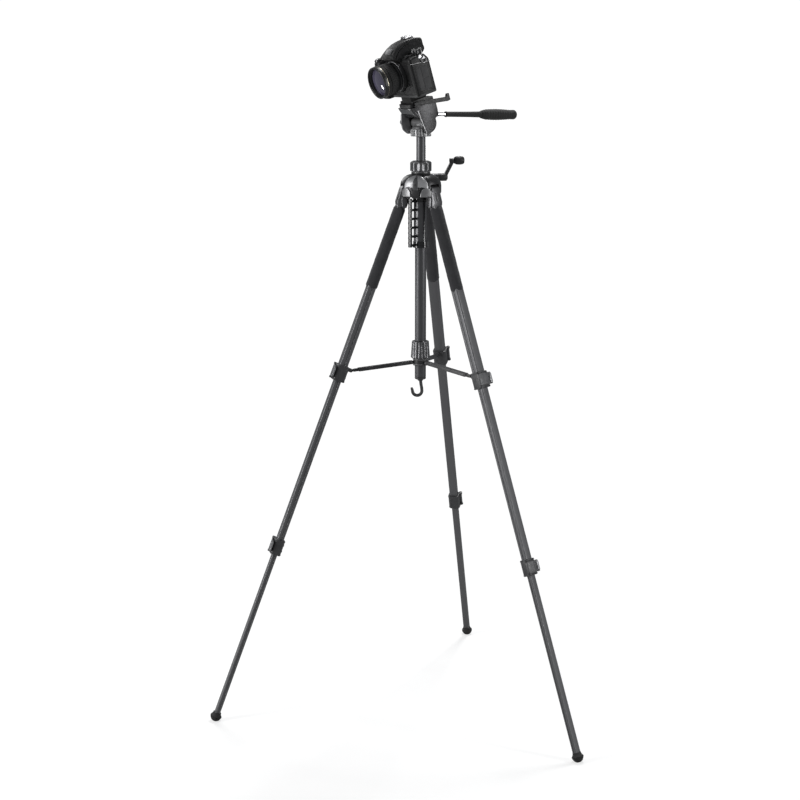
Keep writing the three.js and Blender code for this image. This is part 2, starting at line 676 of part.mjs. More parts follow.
function cameraBody() {
  const shell = new THREE.ExtrudeGeometry(bodyOutline(), {
    depth: BODY.top - BODY.bottom - 6,
    bevelEnabled: true,
    bevelThickness: 3,
    bevelSize: 3,
    bevelOffset: -3,
    bevelSegments: 2,
    curveSegments: 6,
  }).translate(0, 0, BODY.bottom + 3);
  const mountBoss = rodX(33.5, 10, LENS.mount - GAP, 28).translate(0, 0, LENS.height);
  const flashRoom = profilePrism(polygon(FLASH_LINE), -50, 50);
  const shoe = join(
    box([-30, -9.3, 181], [-10, 9.3, 184]),
    box([-30, -9.3, 181], [-28, 9.3, 187]),
  );
  const buttonHole = rod(5.4, 144, 160, 20).translate(32, -52, 0);
  const dialPost = rod(4, 150, 153, 16).translate(-8, 45, 0);
  const releaseHole = rodX(5.4, 21, 40, 20).translate(0, 44, 96);
  const doorRoom = box([-15, BODY.left - 2.3, 76], [17.5, BODY.left + 5, 128]);
  const batteryRoom = box([2, -62.5, BODY.bottom - 5], [38, -38.5, BODY.bottom + 3.3]);
  const body = join(shell, mountBoss, hump(), dialPost);
  return join(cut(body, flashRoom, buttonHole, releaseHole, doorRoom, batteryRoom), shoe);
}

function popUpFlash() {
  const room = profilePrism(polygon(FLASH_LINE.map(([x, z]) => [x + GAP, z + GAP])), -50, 50);
  return common(hump(), room);
}

function modeDial() {
  const knurled = prism(wavyOutline(12.5, 0.7, 18, 2), 151.4, 161.5).translate(-8, 45, 0);
  return cut(knurled, rod(4 + GAP, 150, 153 + GAP, 16).translate(-8, 45, 0));
}

function shutterButton() {
  const profile = [[0, 146], [5, 146], [5, 152], [4, 153.4], [0, 153.8]];
  return revolve(profile, 20).translate(32, -52, 0);
}

function lensRelease() {
  return rodX(5, 23, 28.5, 20).translate(0, 44, 96);
}

function terminalCover() {
  const door = new THREE.ExtrudeGeometry(roundedRectangle(31.7, 51.2, 4), {
    depth: 2.6,
    bevelEnabled: false,
    curveSegments: 4,
  });
  return door.rotateX(Math.PI / 2).translate(1.25, BODY.left + 0.6, 102);
}

function batteryDoor() {
  return box([2.4, -62.1, BODY.bottom], [37.6, -38.9, BODY.bottom + 2.9]);
}

const onLensAxis = (geometry) => geometry.rotateY(Math.PI / 2).translate(0, 0, LENS.height);

function lensBarrel() {
  const { mount, radius, front } = LENS;
  const profile = [
    [0, mount],
    [32, mount],
    [32.4, mount + 3],
    [31.2, mount + 5],
    [32.6, mount + 10.6],
    [27.6, mount + 10.6],
    [27.6, front - 11.4],
    [radius - 0.6, front - 11.4],
    [radius, front - 9],
    [radius, front - 1.2],
    [radius - 1, front],
    [radius - 3, front],
    [radius - 3.6, front - 3.4],
    [24.4, front - 7.4],
    [24.4, front - 14],
    [0, front - 14],
  ];
  return onLensAxis(revolve(profile, 28));
}

function lensRing(outer, low, high, ribs) {
  const shape = wavyOutline(outer, 0.8, ribs, 2);
  return onLensAxis(cut(prism(shape, low, high), rod(27.6 + RUNNING, low - 1, high + 1, 28)));
}

function frontGlass() {
  const { front } = LENS;
  const profile = [[0, front - 13.6], [24, front - 13.6], [24, front - 9.4], [16, front - 6.6], [8, front - 5.2], [0, front - 4.8]];
  return onLensAxis(revolve(profile, 24));
}

// ---------------------------------------------------------------- assembly
function addCentre(tripod) {
  part(tripod, "shoulder_casting", shoulder(), MATERIAL.casting);
  part(tripod, "shoulder_front_cover", frontCover(), MATERIAL.bright);
  part(tripod, "fixed_tube", fixedTube(), MATERIAL.tube);
  part(tripod, "carrying_handle", carryHandle(), MATERIAL.black);
  part(tripod, "column_lock_collar", columnCollar(), MATERIAL.casting);
  part(tripod, "centre_column", centreColumn(), MATERIAL.tube);
  part(tripod, "column_crank", crank(), MATERIAL.black);
  part(tripod, "crank_knob", crankKnob(), MATERIAL.black);
  part(tripod, "spreader_hub", spreaderHub(), MATERIAL.black);
  part(tripod, "spreader_lock_collar", spreaderCollar(), MATERIAL.casting);
  part(tripod, "weight_hook", weightHook(), MATERIAL.casting);
  part(tripod, "pan_ring", panRing(), MATERIAL.bright);
  LEG_AZIMUTHS.forEach((azimuth, i) => {
    const sector = frameAt(tripod, `spreader_sector_${i + 1}`);
    sector.rotation.z = facing(azimuth);
    const hinge = frameAt(sector, `spreader_arm_${i + 1}_hinge`, ARM_INNER.radius, 0, ARM_INNER.height);
    part(hinge, `spreader_arm_${i + 1}`, spreaderArm(), MATERIAL.black);
  });
}

function addHead(tripod) {
  const head = frameAt(tripod, "pan");
  head.rotation.z = facing(LENS_AZIMUTH);
  part(head, "head_body", headBody(), MATERIAL.casting);
  const tilt = frameAt(head, "tilt", 0, 0, TILT_HEIGHT);
  tilt.rotation.y = PITCH * DEGREE;
  part(tilt, "tilt_frame", tiltFrame(), MATERIAL.casting);
  part(tilt, "camera_platform", platform(), MATERIAL.black);
  part(tilt, "release_lever", releaseLever(), MATERIAL.black);
  part(tilt, "quick_release_plate", quickReleasePlate(), MATERIAL.rubber);
  const handle = frameAt(tilt, "pan_handle", PAN_HANDLE.x, 0, PAN_HANDLE.z);
  handle.rotation.y = Math.PI - PAN_HANDLE.droop * DEGREE;
  part(handle, "pan_handle_rod", handleRod(), MATERIAL.bright);
  part(handle, "pan_handle_grip", handleGrip(), MATERIAL.rubber);
  return tilt;
}

function addCamera(tilt) {
  part(tilt, "camera_body", cameraBody(), MATERIAL.camera);
  part(tilt, "pop_up_flash", popUpFlash(), MATERIAL.camera);
  part(tilt, "mode_dial", modeDial(), MATERIAL.camera);
  part(tilt, "shutter_button", shutterButton(), MATERIAL.bright);
  part(tilt, "lens_release_button", lensRelease(), MATERIAL.camera);
  part(tilt, "terminal_cover", terminalCover(), MATERIAL.panel);
  part(tilt, "battery_door", batteryDoor(), MATERIAL.panel);
  part(tilt, "lens_barrel", lensBarrel(), MATERIAL.camera);
  part(tilt, "zoom_ring", lensRing(33.6, LENS.mount + 11, LENS.front - 19.4, 24), MATERIAL.rubber);
  part(tilt, "focus_ring", lensRing(33.2, LENS.front - 18.8, LENS.front - 11.8, 24), MATERIAL.rubber);
  part(tilt, "front_glass", frontGlass(), MATERIAL.glass);
}

const tripod = new THREE.Group();
LEG_AZIMUTHS.forEach((azimuth, i) => addLeg(tripod, azimuth, i + 1));
addCentre(tripod);
addCamera(addHead(tripod));

// The origin is below the middle of the whole object's bounding box.
const object = new THREE.Group();
object.add(tripod);
object.updateMatrixWorld(true);
const bounds = new THREE.Box3().setFromObject(tripod, true);
const middle = bounds.getCenter(new THREE.Vector3());
tripod.position.set(-middle.x, -middle.y, -bounds.min.z);

export default object;
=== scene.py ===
"""Looks for the camera on its tripod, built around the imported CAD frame. Metres, +Z up."""

import json
from math import acos, copysign, cos, hypot, pi, radians, sin, tan

import bmesh
import bpy
from mathutils import Matrix, Vector


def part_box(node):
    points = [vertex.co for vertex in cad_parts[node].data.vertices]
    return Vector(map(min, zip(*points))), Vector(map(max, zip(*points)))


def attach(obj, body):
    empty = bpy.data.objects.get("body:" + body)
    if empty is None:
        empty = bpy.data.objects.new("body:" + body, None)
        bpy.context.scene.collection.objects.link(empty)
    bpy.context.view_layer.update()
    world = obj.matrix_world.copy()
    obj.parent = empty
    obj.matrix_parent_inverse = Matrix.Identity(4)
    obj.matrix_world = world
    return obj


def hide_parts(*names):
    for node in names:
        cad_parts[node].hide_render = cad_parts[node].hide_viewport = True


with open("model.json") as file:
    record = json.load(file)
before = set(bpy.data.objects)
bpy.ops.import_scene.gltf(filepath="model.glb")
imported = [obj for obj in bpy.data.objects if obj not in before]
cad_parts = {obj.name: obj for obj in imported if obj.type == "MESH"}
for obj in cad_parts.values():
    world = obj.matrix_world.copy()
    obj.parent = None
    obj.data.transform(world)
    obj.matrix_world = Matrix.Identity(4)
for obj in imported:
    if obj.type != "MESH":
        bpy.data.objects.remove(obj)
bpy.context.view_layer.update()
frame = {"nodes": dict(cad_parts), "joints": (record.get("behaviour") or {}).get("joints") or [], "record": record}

MM = 0.001
TAU = 2 * pi
UP = Vector((0, 0, 1))
JOINT = {joint["name"]: joint for joint in frame["joints"]}
BODY_OF = {
    node: body for body, nodes in frame["record"]["behaviour"]["bodies"].items() for node in nodes
}

# ------------------------------------------------------------------ frames


def axis_of(joint):
    return Vector(JOINT[joint]["axis"])


def axes_frame(origin, x=None, y=None, z=None):
    """A frame with its origin in metres, from two of its axes."""
    if x is None:
        x = y.cross(z)
    if y is None:
        y = z.cross(x)
    if z is None:
        z = x.cross(y)
    matrix = Matrix([v.normalized() for v in (x, y, z)]).transposed().to_4x4()
    matrix.translation = Vector(origin)
    return matrix


def column_foot():
    """The point of the floor under the column's axis."""
    low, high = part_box("centre_column")
    return Vector(((low.x + high.x) / 2, (low.y + high.y) / 2, 0))


FOOT = column_foot()
TRIPOD = Matrix.Translation(FOOT)


def leg_frame(n):
    """Origin on the leg's hinge, z up along the leg, y along the hinge, x outwards."""
    hinge = f"leg_{n}_fold"
    return axes_frame(JOINT[hinge]["pos_m"], y=axis_of(hinge), z=axis_of(f"leg_{n}_middle_slide"))


def sector_frame(n):
    """Origin on the column's axis at the floor, x towards the leg."""
    return axes_frame(FOOT, y=axis_of(f"leg_{n}_fold"), z=UP)


def azimuth_frame(azimuth):
    """Origin on the column's axis at the floor, x towards an azimuth from -Y to +X."""
    a = radians(azimuth)
    return axes_frame(FOOT, x=Vector((sin(a), -cos(a), 0)), z=UP)


def crank_frame():
    """Origin beside the column's axis, x out along the crank's shaft, z up."""
    x = axis_of("crank_turn").normalized()
    return axes_frame(Vector(JOINT["crank_turn"]["pos_m"]) - x * 55 * MM, x=x, z=UP)


# On the tilt axis, x the way the lens looks, y to the camera's left.
TILT = axes_frame(JOINT["tilt"]["pos_m"], y=axis_of("tilt"), z=axis_of("camera_lift"))
PAN = axes_frame(FOOT, y=axis_of("tilt"), z=UP)
HANDLE = axes_frame(JOINT["pan_handle_twist"]["pos_m"], axis_of("pan_handle_twist"), axis_of("tilt"))
CRANK = crank_frame()
LEGS = {n: leg_frame(n) for n in (1, 2, 3)}


def moved(x, y, z):
    return Matrix.Translation((x, y, z))


def spun(degrees, axis):
    return Matrix.Rotation(radians(degrees), 4, axis)


ALONG_X = spun(90, "Y")  # turns a lathe about z into one about x
ALONG_Y = spun(-90, "X")

# ------------------------------------------------------------------ materials


class Nodes:
    """Adds shader nodes to a tree and wires them."""

    def __init__(self, tree):
        self.tree = tree

    def fill(self, socket, value):
        """Sets a socket to a number, a colour or a vector, or links an output to it."""
        if isinstance(value, bpy.types.NodeSocket):
            self.tree.links.new(value, socket)
        else:
            socket.default_value = (*value, 1) if socket.type == "RGBA" else value

    def add(self, kind, inputs, output, **settings):
        """One node. Inputs are given by name or number, and settings are its properties."""
        node = self.tree.nodes.new("ShaderNode" + kind)
        for name, value in settings.items():
            setattr(node, name, value)
        for name, value in inputs.items():
            self.fill(node.inputs[name], value)
        return node.outputs[output] if output is not None else node

    def span(self, value, low, high, start=0.0, end=1.0):
        inputs = {"Value": value, "From Min": low, "From Max": high, "To Min": start, "To Max": end}
        return self.add("MapRange", inputs, "Result")


class Surface(Nodes):
    """A material with a Principled shader, textured in the object's own coordinates."""

    INPUTS = {
        "color": "Base Color", "rough": "Roughness", "metal": "Metallic", "normal": "Normal",
        "coat": "Coat Weight", "coat_rough": "Coat Roughness", "sheen": "Sheen Weight",
        "ior": "IOR", "alpha": "Alpha", "specular": "Specular IOR Level",
        "glow_color": "Emission Color", "glow": "Emission Strength",
    }

    def __init__(self, name, color=(1, 1, 1)):
        self.material = bpy.data.materials.new(name)
        self.material.use_nodes = True
        super().__init__(self.material.node_tree)
        self.color = color
        self.place = self.add("TexCoord", {}, "Object")

    def stretched(self, scale):
        return self.add("Mapping", {"Vector": self.place, "Scale": scale}, "Vector")

    def noise(self, scale, detail=3.0, rough=0.55, vector=None):
        inputs = {"Vector": vector or self.place, "Scale": scale, "Detail": detail, "Roughness": rough}
        return self.add("TexNoise", inputs, "Fac")

    def cells(self, scale):
        return self.add("TexVoronoi", {"Vector": self.place, "Scale": scale}, "Distance")

    def ramp(self, value, *stops):
        node = self.add("ValToRGB", {"Fac": value}, None)
        elements = node.color_ramp.elements
        for element, (position, color) in zip(elements, (stops[0], stops[-1])):
            element.position, element.color = position, (*color, 1)
        for position, color in stops[1:-1]:
            elements.new(position).color = (*color, 1)
        return node.outputs["Color"]

    def shade(self, factor):
        return tuple(min(1.0, c * factor) for c in self.color)

    def tones(self, value, dark, light, high=0.7):
        """The material's colour, from a darker to a lighter tone."""
        return self.ramp(value, (0.3, self.shade(dark)), (high, self.shade(light)))

    def mix(self, amount, base, factor):
        """Part of the base gives way to the material's colour times the factor."""
        inputs = {0: amount, 6: base, 7: self.shade(factor)}
        return self.add("Mix", inputs, 2, data_type="RGBA")

    def worn(self, base, amount, factor):
        """Lighter convex edges."""
        geometry = self.tree.nodes.new("ShaderNodeNewGeometry")
        edges = self.span(geometry.outputs["Pointiness"], 0.52, 0.6)
        return self.mix(self.span(edges, 0, 1, 0, amount), base, factor)

    def bump(self, height, strength, distance, after=None):
        inputs = {"Strength": strength, "Distance": distance, "Height": height}
        if after is not None:
            inputs["Normal"] = after
        return self.add("Bump", inputs, "Normal")

    def set(self, **values):
        shader = self.tree.nodes["Principled BSDF"]
        for key, value in values.items():
            self.fill(shader.inputs[self.INPUTS[key]], value)
        return self.material


def drawn_metal(name, color, rough=0.34, metal=0.85):
    """Anodised drawn tube: fine streaks along z, faint handling marks."""
    s = Surface(name, color)
    streaks = s.noise(1, 4, 0.6, s.stretched((2600, 2600, 18)))
    polish = s.noise(1, 2, 0.5, s.stretched((900, 900, 12)))
    base = s.tones(streaks, 0.88, 1.1)
    base = s.mix(s.span(s.noise(28, 3, 0.6), 0.35, 0.75, 0, 0.25), base, 0.75)
    return s.set(
        color=s.worn(base, 0.25, 1.7), metal=metal, normal=s.bump(streaks, 0.12, 0.0002),
        rough=s.span(polish, 0.3, 0.7, rough - 0.06, rough + 0.08),
    )


def cast_metal(name, color, rough=0.38, metal=0.8):
    """Painted or blasted casting: fine grain, cloudier tone, bright edges."""
    s = Surface(name, color)
    fine = s.noise(1500, 3, 0.6)
    base = s.tones(s.noise(45, 4, 0.6), 0.85, 1.12, 0.72)
    return s.set(
        color=s.worn(base, 0.35, 1.6), metal=metal, normal=s.bump(fine, 0.22, 0.00025),
        rough=s.span(fine, 0.3, 0.7, rough - 0.06, rough + 0.1),
    )


def moulded(name, color, rough=0.45, grain=1300, depth=0.3, wear=0.3, coat=0.0, specular=0.5):
    """Injection moulded plastic with a spark-eroded grain."""
    s = Surface(name, color)
    base = s.tones(s.noise(60, 4, 0.55), 0.8, 1.25, 0.72)
    return s.set(
        color=s.worn(base, wear, 3.0), normal=s.bump(s.cells(grain), depth, 0.0002),
        rough=s.span(s.noise(220, 3, 0.6), 0.3, 0.7, rough - 0.07, rough + 0.1),
        coat=coat, coat_rough=0.12, specular=specular,
    )


def rubbery(name, color, rough=0.8, grain=1800, depth=0.35):
    """Matte rubber with a fine grain and a little dust."""
    s = Surface(name, color)
    fine = s.noise(grain, 4, 0.65)
    base = s.tones(s.noise(38, 4, 0.6), 0.8, 1.25)
    base = s.mix(s.span(s.noise(75, 5, 0.7), 0.55, 0.8, 0, 0.22), base, 2.6)
    return s.set(
        color=base, rough=s.span(fine, 0.3, 0.7, rough - 0.1, min(1, rough + 0.08)),
        sheen=0.12, normal=s.bump(fine, depth, 0.0003),
    )


def foam(name, color):
    """Closed-cell foam: open pinholes in a matte skin."""
    s = Surface(name, color)
    pores = s.cells(1100)
    lumps = s.noise(160, 4, 0.6)
    base = s.tones(s.noise(30, 4, 0.6), 0.82, 1.2)
    return s.set(
        color=s.mix(s.span(pores, 0.0, 0.28, 0.6, 0.0), base, 0.35), sheen=0.25,
        rough=s.span(lumps, 0.3, 0.7, 0.86, 1.0),
        normal=s.bump(pores, 0.5, 0.0004, s.bump(lumps, 0.3, 0.0006)),
    )


def polished(name, color, rough=0.1):
    """Bright metal with hairline marks."""
    s = Surface(name, color)
    hair = s.noise(1, 3, 0.6, s.stretched((20, 1800, 1800)))
    return s.set(
        color=s.tones(hair, 0.92, 1.04), metal=1.0, normal=s.bump(hair, 0.05, 0.0001),
        rough=s.span(s.noise(150, 3, 0.6), 0.3, 0.7, rough - 0.03, rough + 0.07),
    )


def coated_glass(name, color):
    """Dark multi-coated glass: a violet bloom that strengthens towards the rim."""
    s = Surface(name, color)
    facing = s.add("LayerWeight", {"Blend": 0.35}, "Facing")
    bloom = (0.32, 0.3, 0.44)
    smear = s.noise(90, 3, 0.6)
    return s.set(
        color=s.ramp(facing, (0.0, s.shade(0.8)), (0.45, s.shade(1.3)), (1.0, bloom)),
        rough=s.span(smear, 0.4, 0.7, 0.02, 0.07), coat=1.0, coat_rough=0.02, ior=1.7,
    )


MAT = {
    "tube": drawn_metal("leg_tube_anodised", (0.14, 0.14, 0.145), 0.38, 0.5),
    "tube_dark": drawn_metal("column_tube_anodised", (0.115, 0.115, 0.12), 0.44),
    "casting": cast_metal("casting_grey", (0.17, 0.17, 0.175), 0.32, 0.9),
    "casting_dark": cast_metal("casting_dark_grey", (0.045, 0.045, 0.047), 0.3, 0.6),
    "bright": cast_metal("cover_light_grey", (0.5, 0.5, 0.51), 0.42, 0.7),
    "casting_light": cast_metal("casting_light_grey", (0.3, 0.3, 0.305), 0.38, 0.75),
    "shiny": cast_metal("apron_polished", (0.3, 0.3, 0.305), 0.16, 1.0),
    "black": moulded("plastic_black", (0.02, 0.02, 0.021), 0.42),
    "gloss": moulded("plastic_gloss_black", (0.014, 0.014, 0.015), 0.2, 500, 0.06, 0.15, 0.7),
    "lever": moulded("lever_grey", (0.12, 0.12, 0.124), 0.34),
    "lock": moulded("lock_dark_grey", (0.042, 0.042, 0.044), 0.38),
    "foam": foam("foam_grip_charcoal", (0.033, 0.033, 0.0365)),
    "rubber": rubbery("rubber_black", (0.018, 0.018, 0.018)),
    "shell": moulded("camera_shell_black", (0.0095, 0.0095, 0.01), 0.42, 1500, 0.4, 0.2, 0.0, 0.36),
    "leatherette": rubbery("camera_grip_rubber", (0.011, 0.011, 0.0115), 0.72, 900, 0.6),
    "door": rubbery("terminal_door_rubber", (0.062, 0.062, 0.064), 0.66, 1600, 0.3),
    "chrome": polished("chrome_bright", (0.72, 0.72, 0.73)),
    "silver": cast_metal("button_silver", (0.45, 0.45, 0.46), 0.3, 0.9),
    "lens": moulded("lens_barrel_black", (0.014, 0.014, 0.015), 0.34, 1700, 0.18, 0.2),
    "gold": polished("lens_trim_gold", (0.5, 0.46, 0.36), 0.25),
    "glass": coated_glass("front_element", (0.05, 0.045, 0.075)),
    "screen": coated_glass("rear_screen", (0.012, 0.013, 0.016)),
    "white": moulded("mark_white", (0.6, 0.6, 0.6), 0.5),
}

# ------------------------------------------------------------------ mesh building
WELD = 2e-6  # metres between vertices that become one
FLAT_ANGLE = 1.5  # degrees between facets that are joined
EDGE_ANGLE = 28  # degrees at an edge that gets rounded
HERE = Matrix.Identity(4)


def add_object(name, data):
    made = bpy.data.objects.new(name, data)
    bpy.context.scene.collection.objects.link(made)
    return made


def finish_object(name, mesh, material, body, matrix=None, replaces=(), angle=32):
    """Shades a mesh, gives it its material, and rides it on its body."""
    mesh.shade_smooth()
    mesh.set_sharp_from_angle(angle=radians(angle))
    mesh.materials.append(MAT[material])
    piece = add_object(name, mesh)
    if matrix is not None:
        piece.matrix_world = matrix
    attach(piece, body)
    if replaces:
        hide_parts(*replaces)
    return piece


def refine(node, material, bevel):
    """A finer copy of a CAD node: welded, its flat facets joined, its edges rounded."""
    mesh = bpy.data.meshes.new(f"fine_{node}")
    work = bmesh.new()
    work.from_mesh(frame["nodes"][node].data)
    bmesh.ops.remove_doubles(work, verts=work.verts, dist=WELD)
    bmesh.ops.dissolve_limit(work, angle_limit=radians(FLAT_ANGLE), verts=work.verts, edges=work.edges)
    sharp = [
        edge for edge in work.edges
        if len(edge.link_faces) == 2 and edge.calc_face_angle(0) > radians(EDGE_ANGLE)
    ]
    bmesh.ops.bevel(
        work, geom=sharp, offset=bevel * MM, segments=2, affect="EDGES",
        clamp_overlap=True, profile=0.6,
    )
    work.to_mesh(mesh)
    work.free()
    finish_object(f"fine_{node}", mesh, material, BODY_OF[node], replaces=[node])


def between(table, at):
    """Straight lines through a table of pairs, level beyond its ends."""
    for (start, first), (end, last) in zip(table, table[1:]):
        if at <= end:
            return first + (last - first) * (max(at, start) - start) / (end - start)
    return table[-1][1]


def filleted(points, radius, steps=4):
    """A closed outline with its corners rounded. A third number on a point is its own radius."""
    outline = []
    for i, point in enumerate(points):
        p, before, after = (Vector(q[:2]) for q in (point, points[i - 1], points[(i + 1) % len(points)]))
        r = point[2] if len(point) > 2 else radius
        u, v = before - p, after - p
        if r <= 0 or u.length < 1e-6 or v.length < 1e-6:
            outline.append((p.x, p.y))
            continue
        half = max(u.angle(v) / 2, 0.02)
        reach = min(r / tan(half), 0.48 * u.length, 0.48 * v.length)
        start, end = p + u.normalized() * reach, p + v.normalized() * reach
        for k in range(steps + 1):
            s = k / steps
            q = start * (1 - s) ** 2 + p * 2 * s * (1 - s) + end * s * s
            outline.append((q.x, q.y))
    return outline


def rectangle(width, depth, radius, steps=6, x=0.0, y=0.0):
    """Centred on x, y: width along x, depth along y."""
    w, d = width / 2, depth / 2
    return filleted([(x + w, y - d), (x + w, y + d), (x - w, y + d), (x - w, y - d)], radius, steps)


def inset(outline, amount):
    """The outline moved inwards, each point along its own normal."""
    area = sum(a[0] * b[1] - b[0] * a[1] for a, b in zip(outline, outline[1:] + outline[:1]))
    sign = 1 if area > 0 else -1
    result = []
    for i, p in enumerate(outline):
        before, after = outline[i - 1], outline[(i + 1) % len(outline)]
        t = Vector((after[0] - before[0], after[1] - before[1]))
        if t.length < 1e-9:
            result.append(p)
            continue
        t.normalize()
        result.append((p[0] - t.y * amount * sign, p[1] + t.x * amount * sign))
    return result


class Build:
    """Gathers closed shells, given in millimetres in a local frame, into one mesh."""

    def __init__(self):
        self.mesh = bmesh.new()

    def _vertex(self, point, matrix):
        return self.mesh.verts.new((matrix @ Vector(point)) * MM)

    def _face(self, corners):
        corners = list(dict.fromkeys(corners))
        if len(corners) > 2:
            self.mesh.faces.new(corners)

    def loft(self, rings, matrix=HERE, wrap=False):
        """Rings of points, each ring of the same length or a single point."""
        loops = [[self._vertex(p, matrix) for p in ring] for ring in rings]
        pairs = list(zip(loops, loops[1:])) + ([(loops[-1], loops[0])] if wrap else [])
        for low, high in pairs:
            count = max(len(low), len(high))
            for i in range(count):
                k = (i + 1) % count
                a, b = low[i % len(low)], low[k % len(low)]
                c, d = high[k % len(high)], high[i % len(high)]
                self._face([a, b, c, d])
        if not wrap:
            for loop in (loops[0], loops[-1]):
                if len(loop) > 2:
                    self._face(loop)
        return self

    def lathe(self, profile, matrix=HERE, sides=56, wave=None, wrap=False):
        """Turns [radius, height] pairs about z. It ends on the axis, in flat ends, or wraps."""
        rings = []
        for radius, height in profile:
            if radius < 1e-6:
                rings.append([(0, 0, height)])
                continue
            ring = []
            for i in range(sides):
                angle = TAU * i / sides
                r = radius - (wave(angle, height) if wave else 0)
                ring.append((r * cos(angle), r * sin(angle), height))
            rings.append(ring)
        return self.loft(rings, matrix, wrap)

    def prism(self, outline, low, high, edge, matrix=HERE):
        """An outline raised from low to high, with rounded rims."""
        steps = 3
        edge = min(edge, (high - low) / 2.05)
        turns = [(k / steps) * pi / 2 for k in range(steps + 1)] if edge > 0 else [pi / 2]
        lower = [
            [(x, y, low + edge * (1 - cos(t))) for x, y in inset(outline, edge * (1 - sin(t)))]
            for t in turns
        ]
        upper = [
            [(x, y, high - edge * (1 - cos(t))) for x, y in inset(outline, edge * (1 - sin(t)))]
            for t in reversed(turns)
        ]
        return self.loft(lower + upper, matrix)

    def pipe(self, outer, inner, low, high, edge=0.3):
        """A tube between two outlines that have the same number of points."""
        rings = []
        for outline, side in ((outer, 1), (inner, -1)):
            levels = [(low, edge), (low + edge, 0), (high - edge, 0), (high, edge)][::side]
            rings += [[(x, y, z) for x, y in inset(outline, side * pull)] for z, pull in levels]
        return self.loft(rings, wrap=True)

    def box(self, low, high, edge=0.5, matrix=HERE, corner=None):
        x, y = (low[0] + high[0]) / 2, (low[1] + high[1]) / 2
        outline = rectangle(high[0] - low[0], high[1] - low[1], corner or edge, 4, x, y)
        return self.prism(outline, low[2], high[2], edge, matrix)

    def side(self, outline, low, high, edge):
        """An outline in x and z, given width from y = low to y = high."""
        return self.prism(outline, -high, -low, edge, spun(90, "X"))

    def front(self, outline, low, high, edge, matrix=HERE):
        """An outline in y and z, given depth from x = low to x = high."""
        turn = spun(90, "Z") @ spun(90, "X")
        return self.prism(outline, low, high, edge, matrix @ turn)

    def tube(self, path, radius, sides, closed=False):
        """A round bar along a path. Radius is a number or one for each point."""
        points = [Vector(p) for p in path]
        radii = radius if isinstance(radius, list) else [radius] * len(points)
        normal = None
        rings = []
        for i, p in enumerate(points):
            if closed:
                tangent = points[(i + 1) % len(points)] - points[i - 1]
            else:
                tangent = points[min(i + 1, len(points) - 1)] - points[max(i - 1, 0)]
            tangent.normalize()
            if normal is None:
                normal = tangent.orthogonal().normalized()
            normal = (normal - tangent * normal.dot(tangent)).normalized()
            other = tangent.cross(normal)
            turns = [TAU * k / sides for k in range(sides)]
            rings.append([p + (normal * cos(t) + other * sin(t)) * radii[i] for t in turns])
        return self.loft(rings, wrap=closed)

    def screw(self, radius, height, matrix):
        """A screw's low domed head, standing out along z from the matrix's origin."""
        head = [(radius, height * 0.5), (radius * 0.8, height * 0.9), (radius * 0.3, height), (0, height)]
        return self.lathe([(0, -1), (radius, -1)] + head, matrix, 24)

    def object(self, name, material, body, slot, place=None, replaces=(), angle=32, flat_to_row=False):
        bmesh.ops.recalc_face_normals(self.mesh, faces=self.mesh.faces)
        mesh = bpy.data.meshes.new(name)
        self.mesh.to_mesh(mesh)
        self.mesh.free()
        if flat_to_row and place is not None:
            mesh.transform(place)
            place = None
        return finish_object(name, mesh, material, body, place, replaces, angle)

    def on_camera(self, name, material, slot="camera_shell"):
        return self.object(name, material, "camera", slot, TILT)


def rim(radius, edge, z, rise, steps):
    """A quarter round from a flat end at z out to the radius. Rise is 1 upwards, -1 downwards."""
    turns = [k / steps * pi / 2 for k in range(steps + 1)]
    return [(radius - edge + edge * sin(t), z + rise * edge * (1 - cos(t))) for t in turns]


def crowned(low, high, radius, edge):
    """A lathe profile for a plain round body with rounded rims."""
    span = high - low - 2 * edge
    wall = [(radius, low + edge + span * (k / 6)) for k in range(1, 6)]
    bottom, top = rim(radius, edge, low, 1, 5), rim(radius, edge, high, -1, 5)
    return [(0, low)] + bottom + wall + top[::-1] + [(0, high)]


def knob_profile(inner, outer, low, high, edge, taper=0.0):
    """A ring's outline from its bore round its rounded rims, to be turned with wrap."""
    span = high - low - 2 * edge
    wall = [(outer - taper * (1 - k / 8), high - edge - span * (k / 8)) for k in range(1, 8)]
    bore = [(inner, low), (inner, high)]
    return bore + rim(outer - taper, edge, high, -1, 4) + wall + rim(outer, edge, low, 1, 4)[::-1]


def flutes(low, high, rise, fall, cut):
    """A lathe's wave: the cut made at each angle, fading out over the rise and the fall at the rims."""
    def wave(angle, height):
        return max(0, min(1.0, (height - low) / rise, (high - height) / fall)) * cut(angle)
    return wave


# ------------------------------------------------------------------ legs
TUBE_WALL = 1.6
UPPER_LOCK = dict(top=-407, bottom=-443, depth=27, width=30)
LOWER_LOCK = dict(top=-822, bottom=-857.5, depth=23, width=26)


def tube_section(depth, width, corner):
    """A drawn leg tube's outline, with a groove along the middle of its two side faces."""
    d, w, g = depth / 2, width / 2, 1.7
    groove = 1.2
    return filleted([
        (d, -w, corner), (d, w, corner), (g, w, 0.4), (g - 0.5, w - groove, 0.2),
        (0.5 - g, w - groove, 0.2), (-g, w, 0.4), (-d, w, corner), (-d, -w, corner), (-g, -w, 0.4),
        (0.5 - g, groove - w, 0.2), (g - 0.5, groove - w, 0.2), (g, -w, 0.4),
    ], 0.4, 6)


def leg_tube(n, level, low, high, depth, width, corner, body):
    """The upper tube belongs to the upper section, which the knuckle replaces."""
    bore = tube_section(depth - 2 * TUBE_WALL, width - 2 * TUBE_WALL, corner - 1.2)
    replaced = [f"leg_{n}_{level}_tube"] if level != "upper" else []
    work = Build().pipe(tube_section(depth, width, corner), bore, low, high)
    work.object(f"leg_{n}_{level}_tube_drawn", "tube", body, "tube_grey", LEGS[n], replaced)


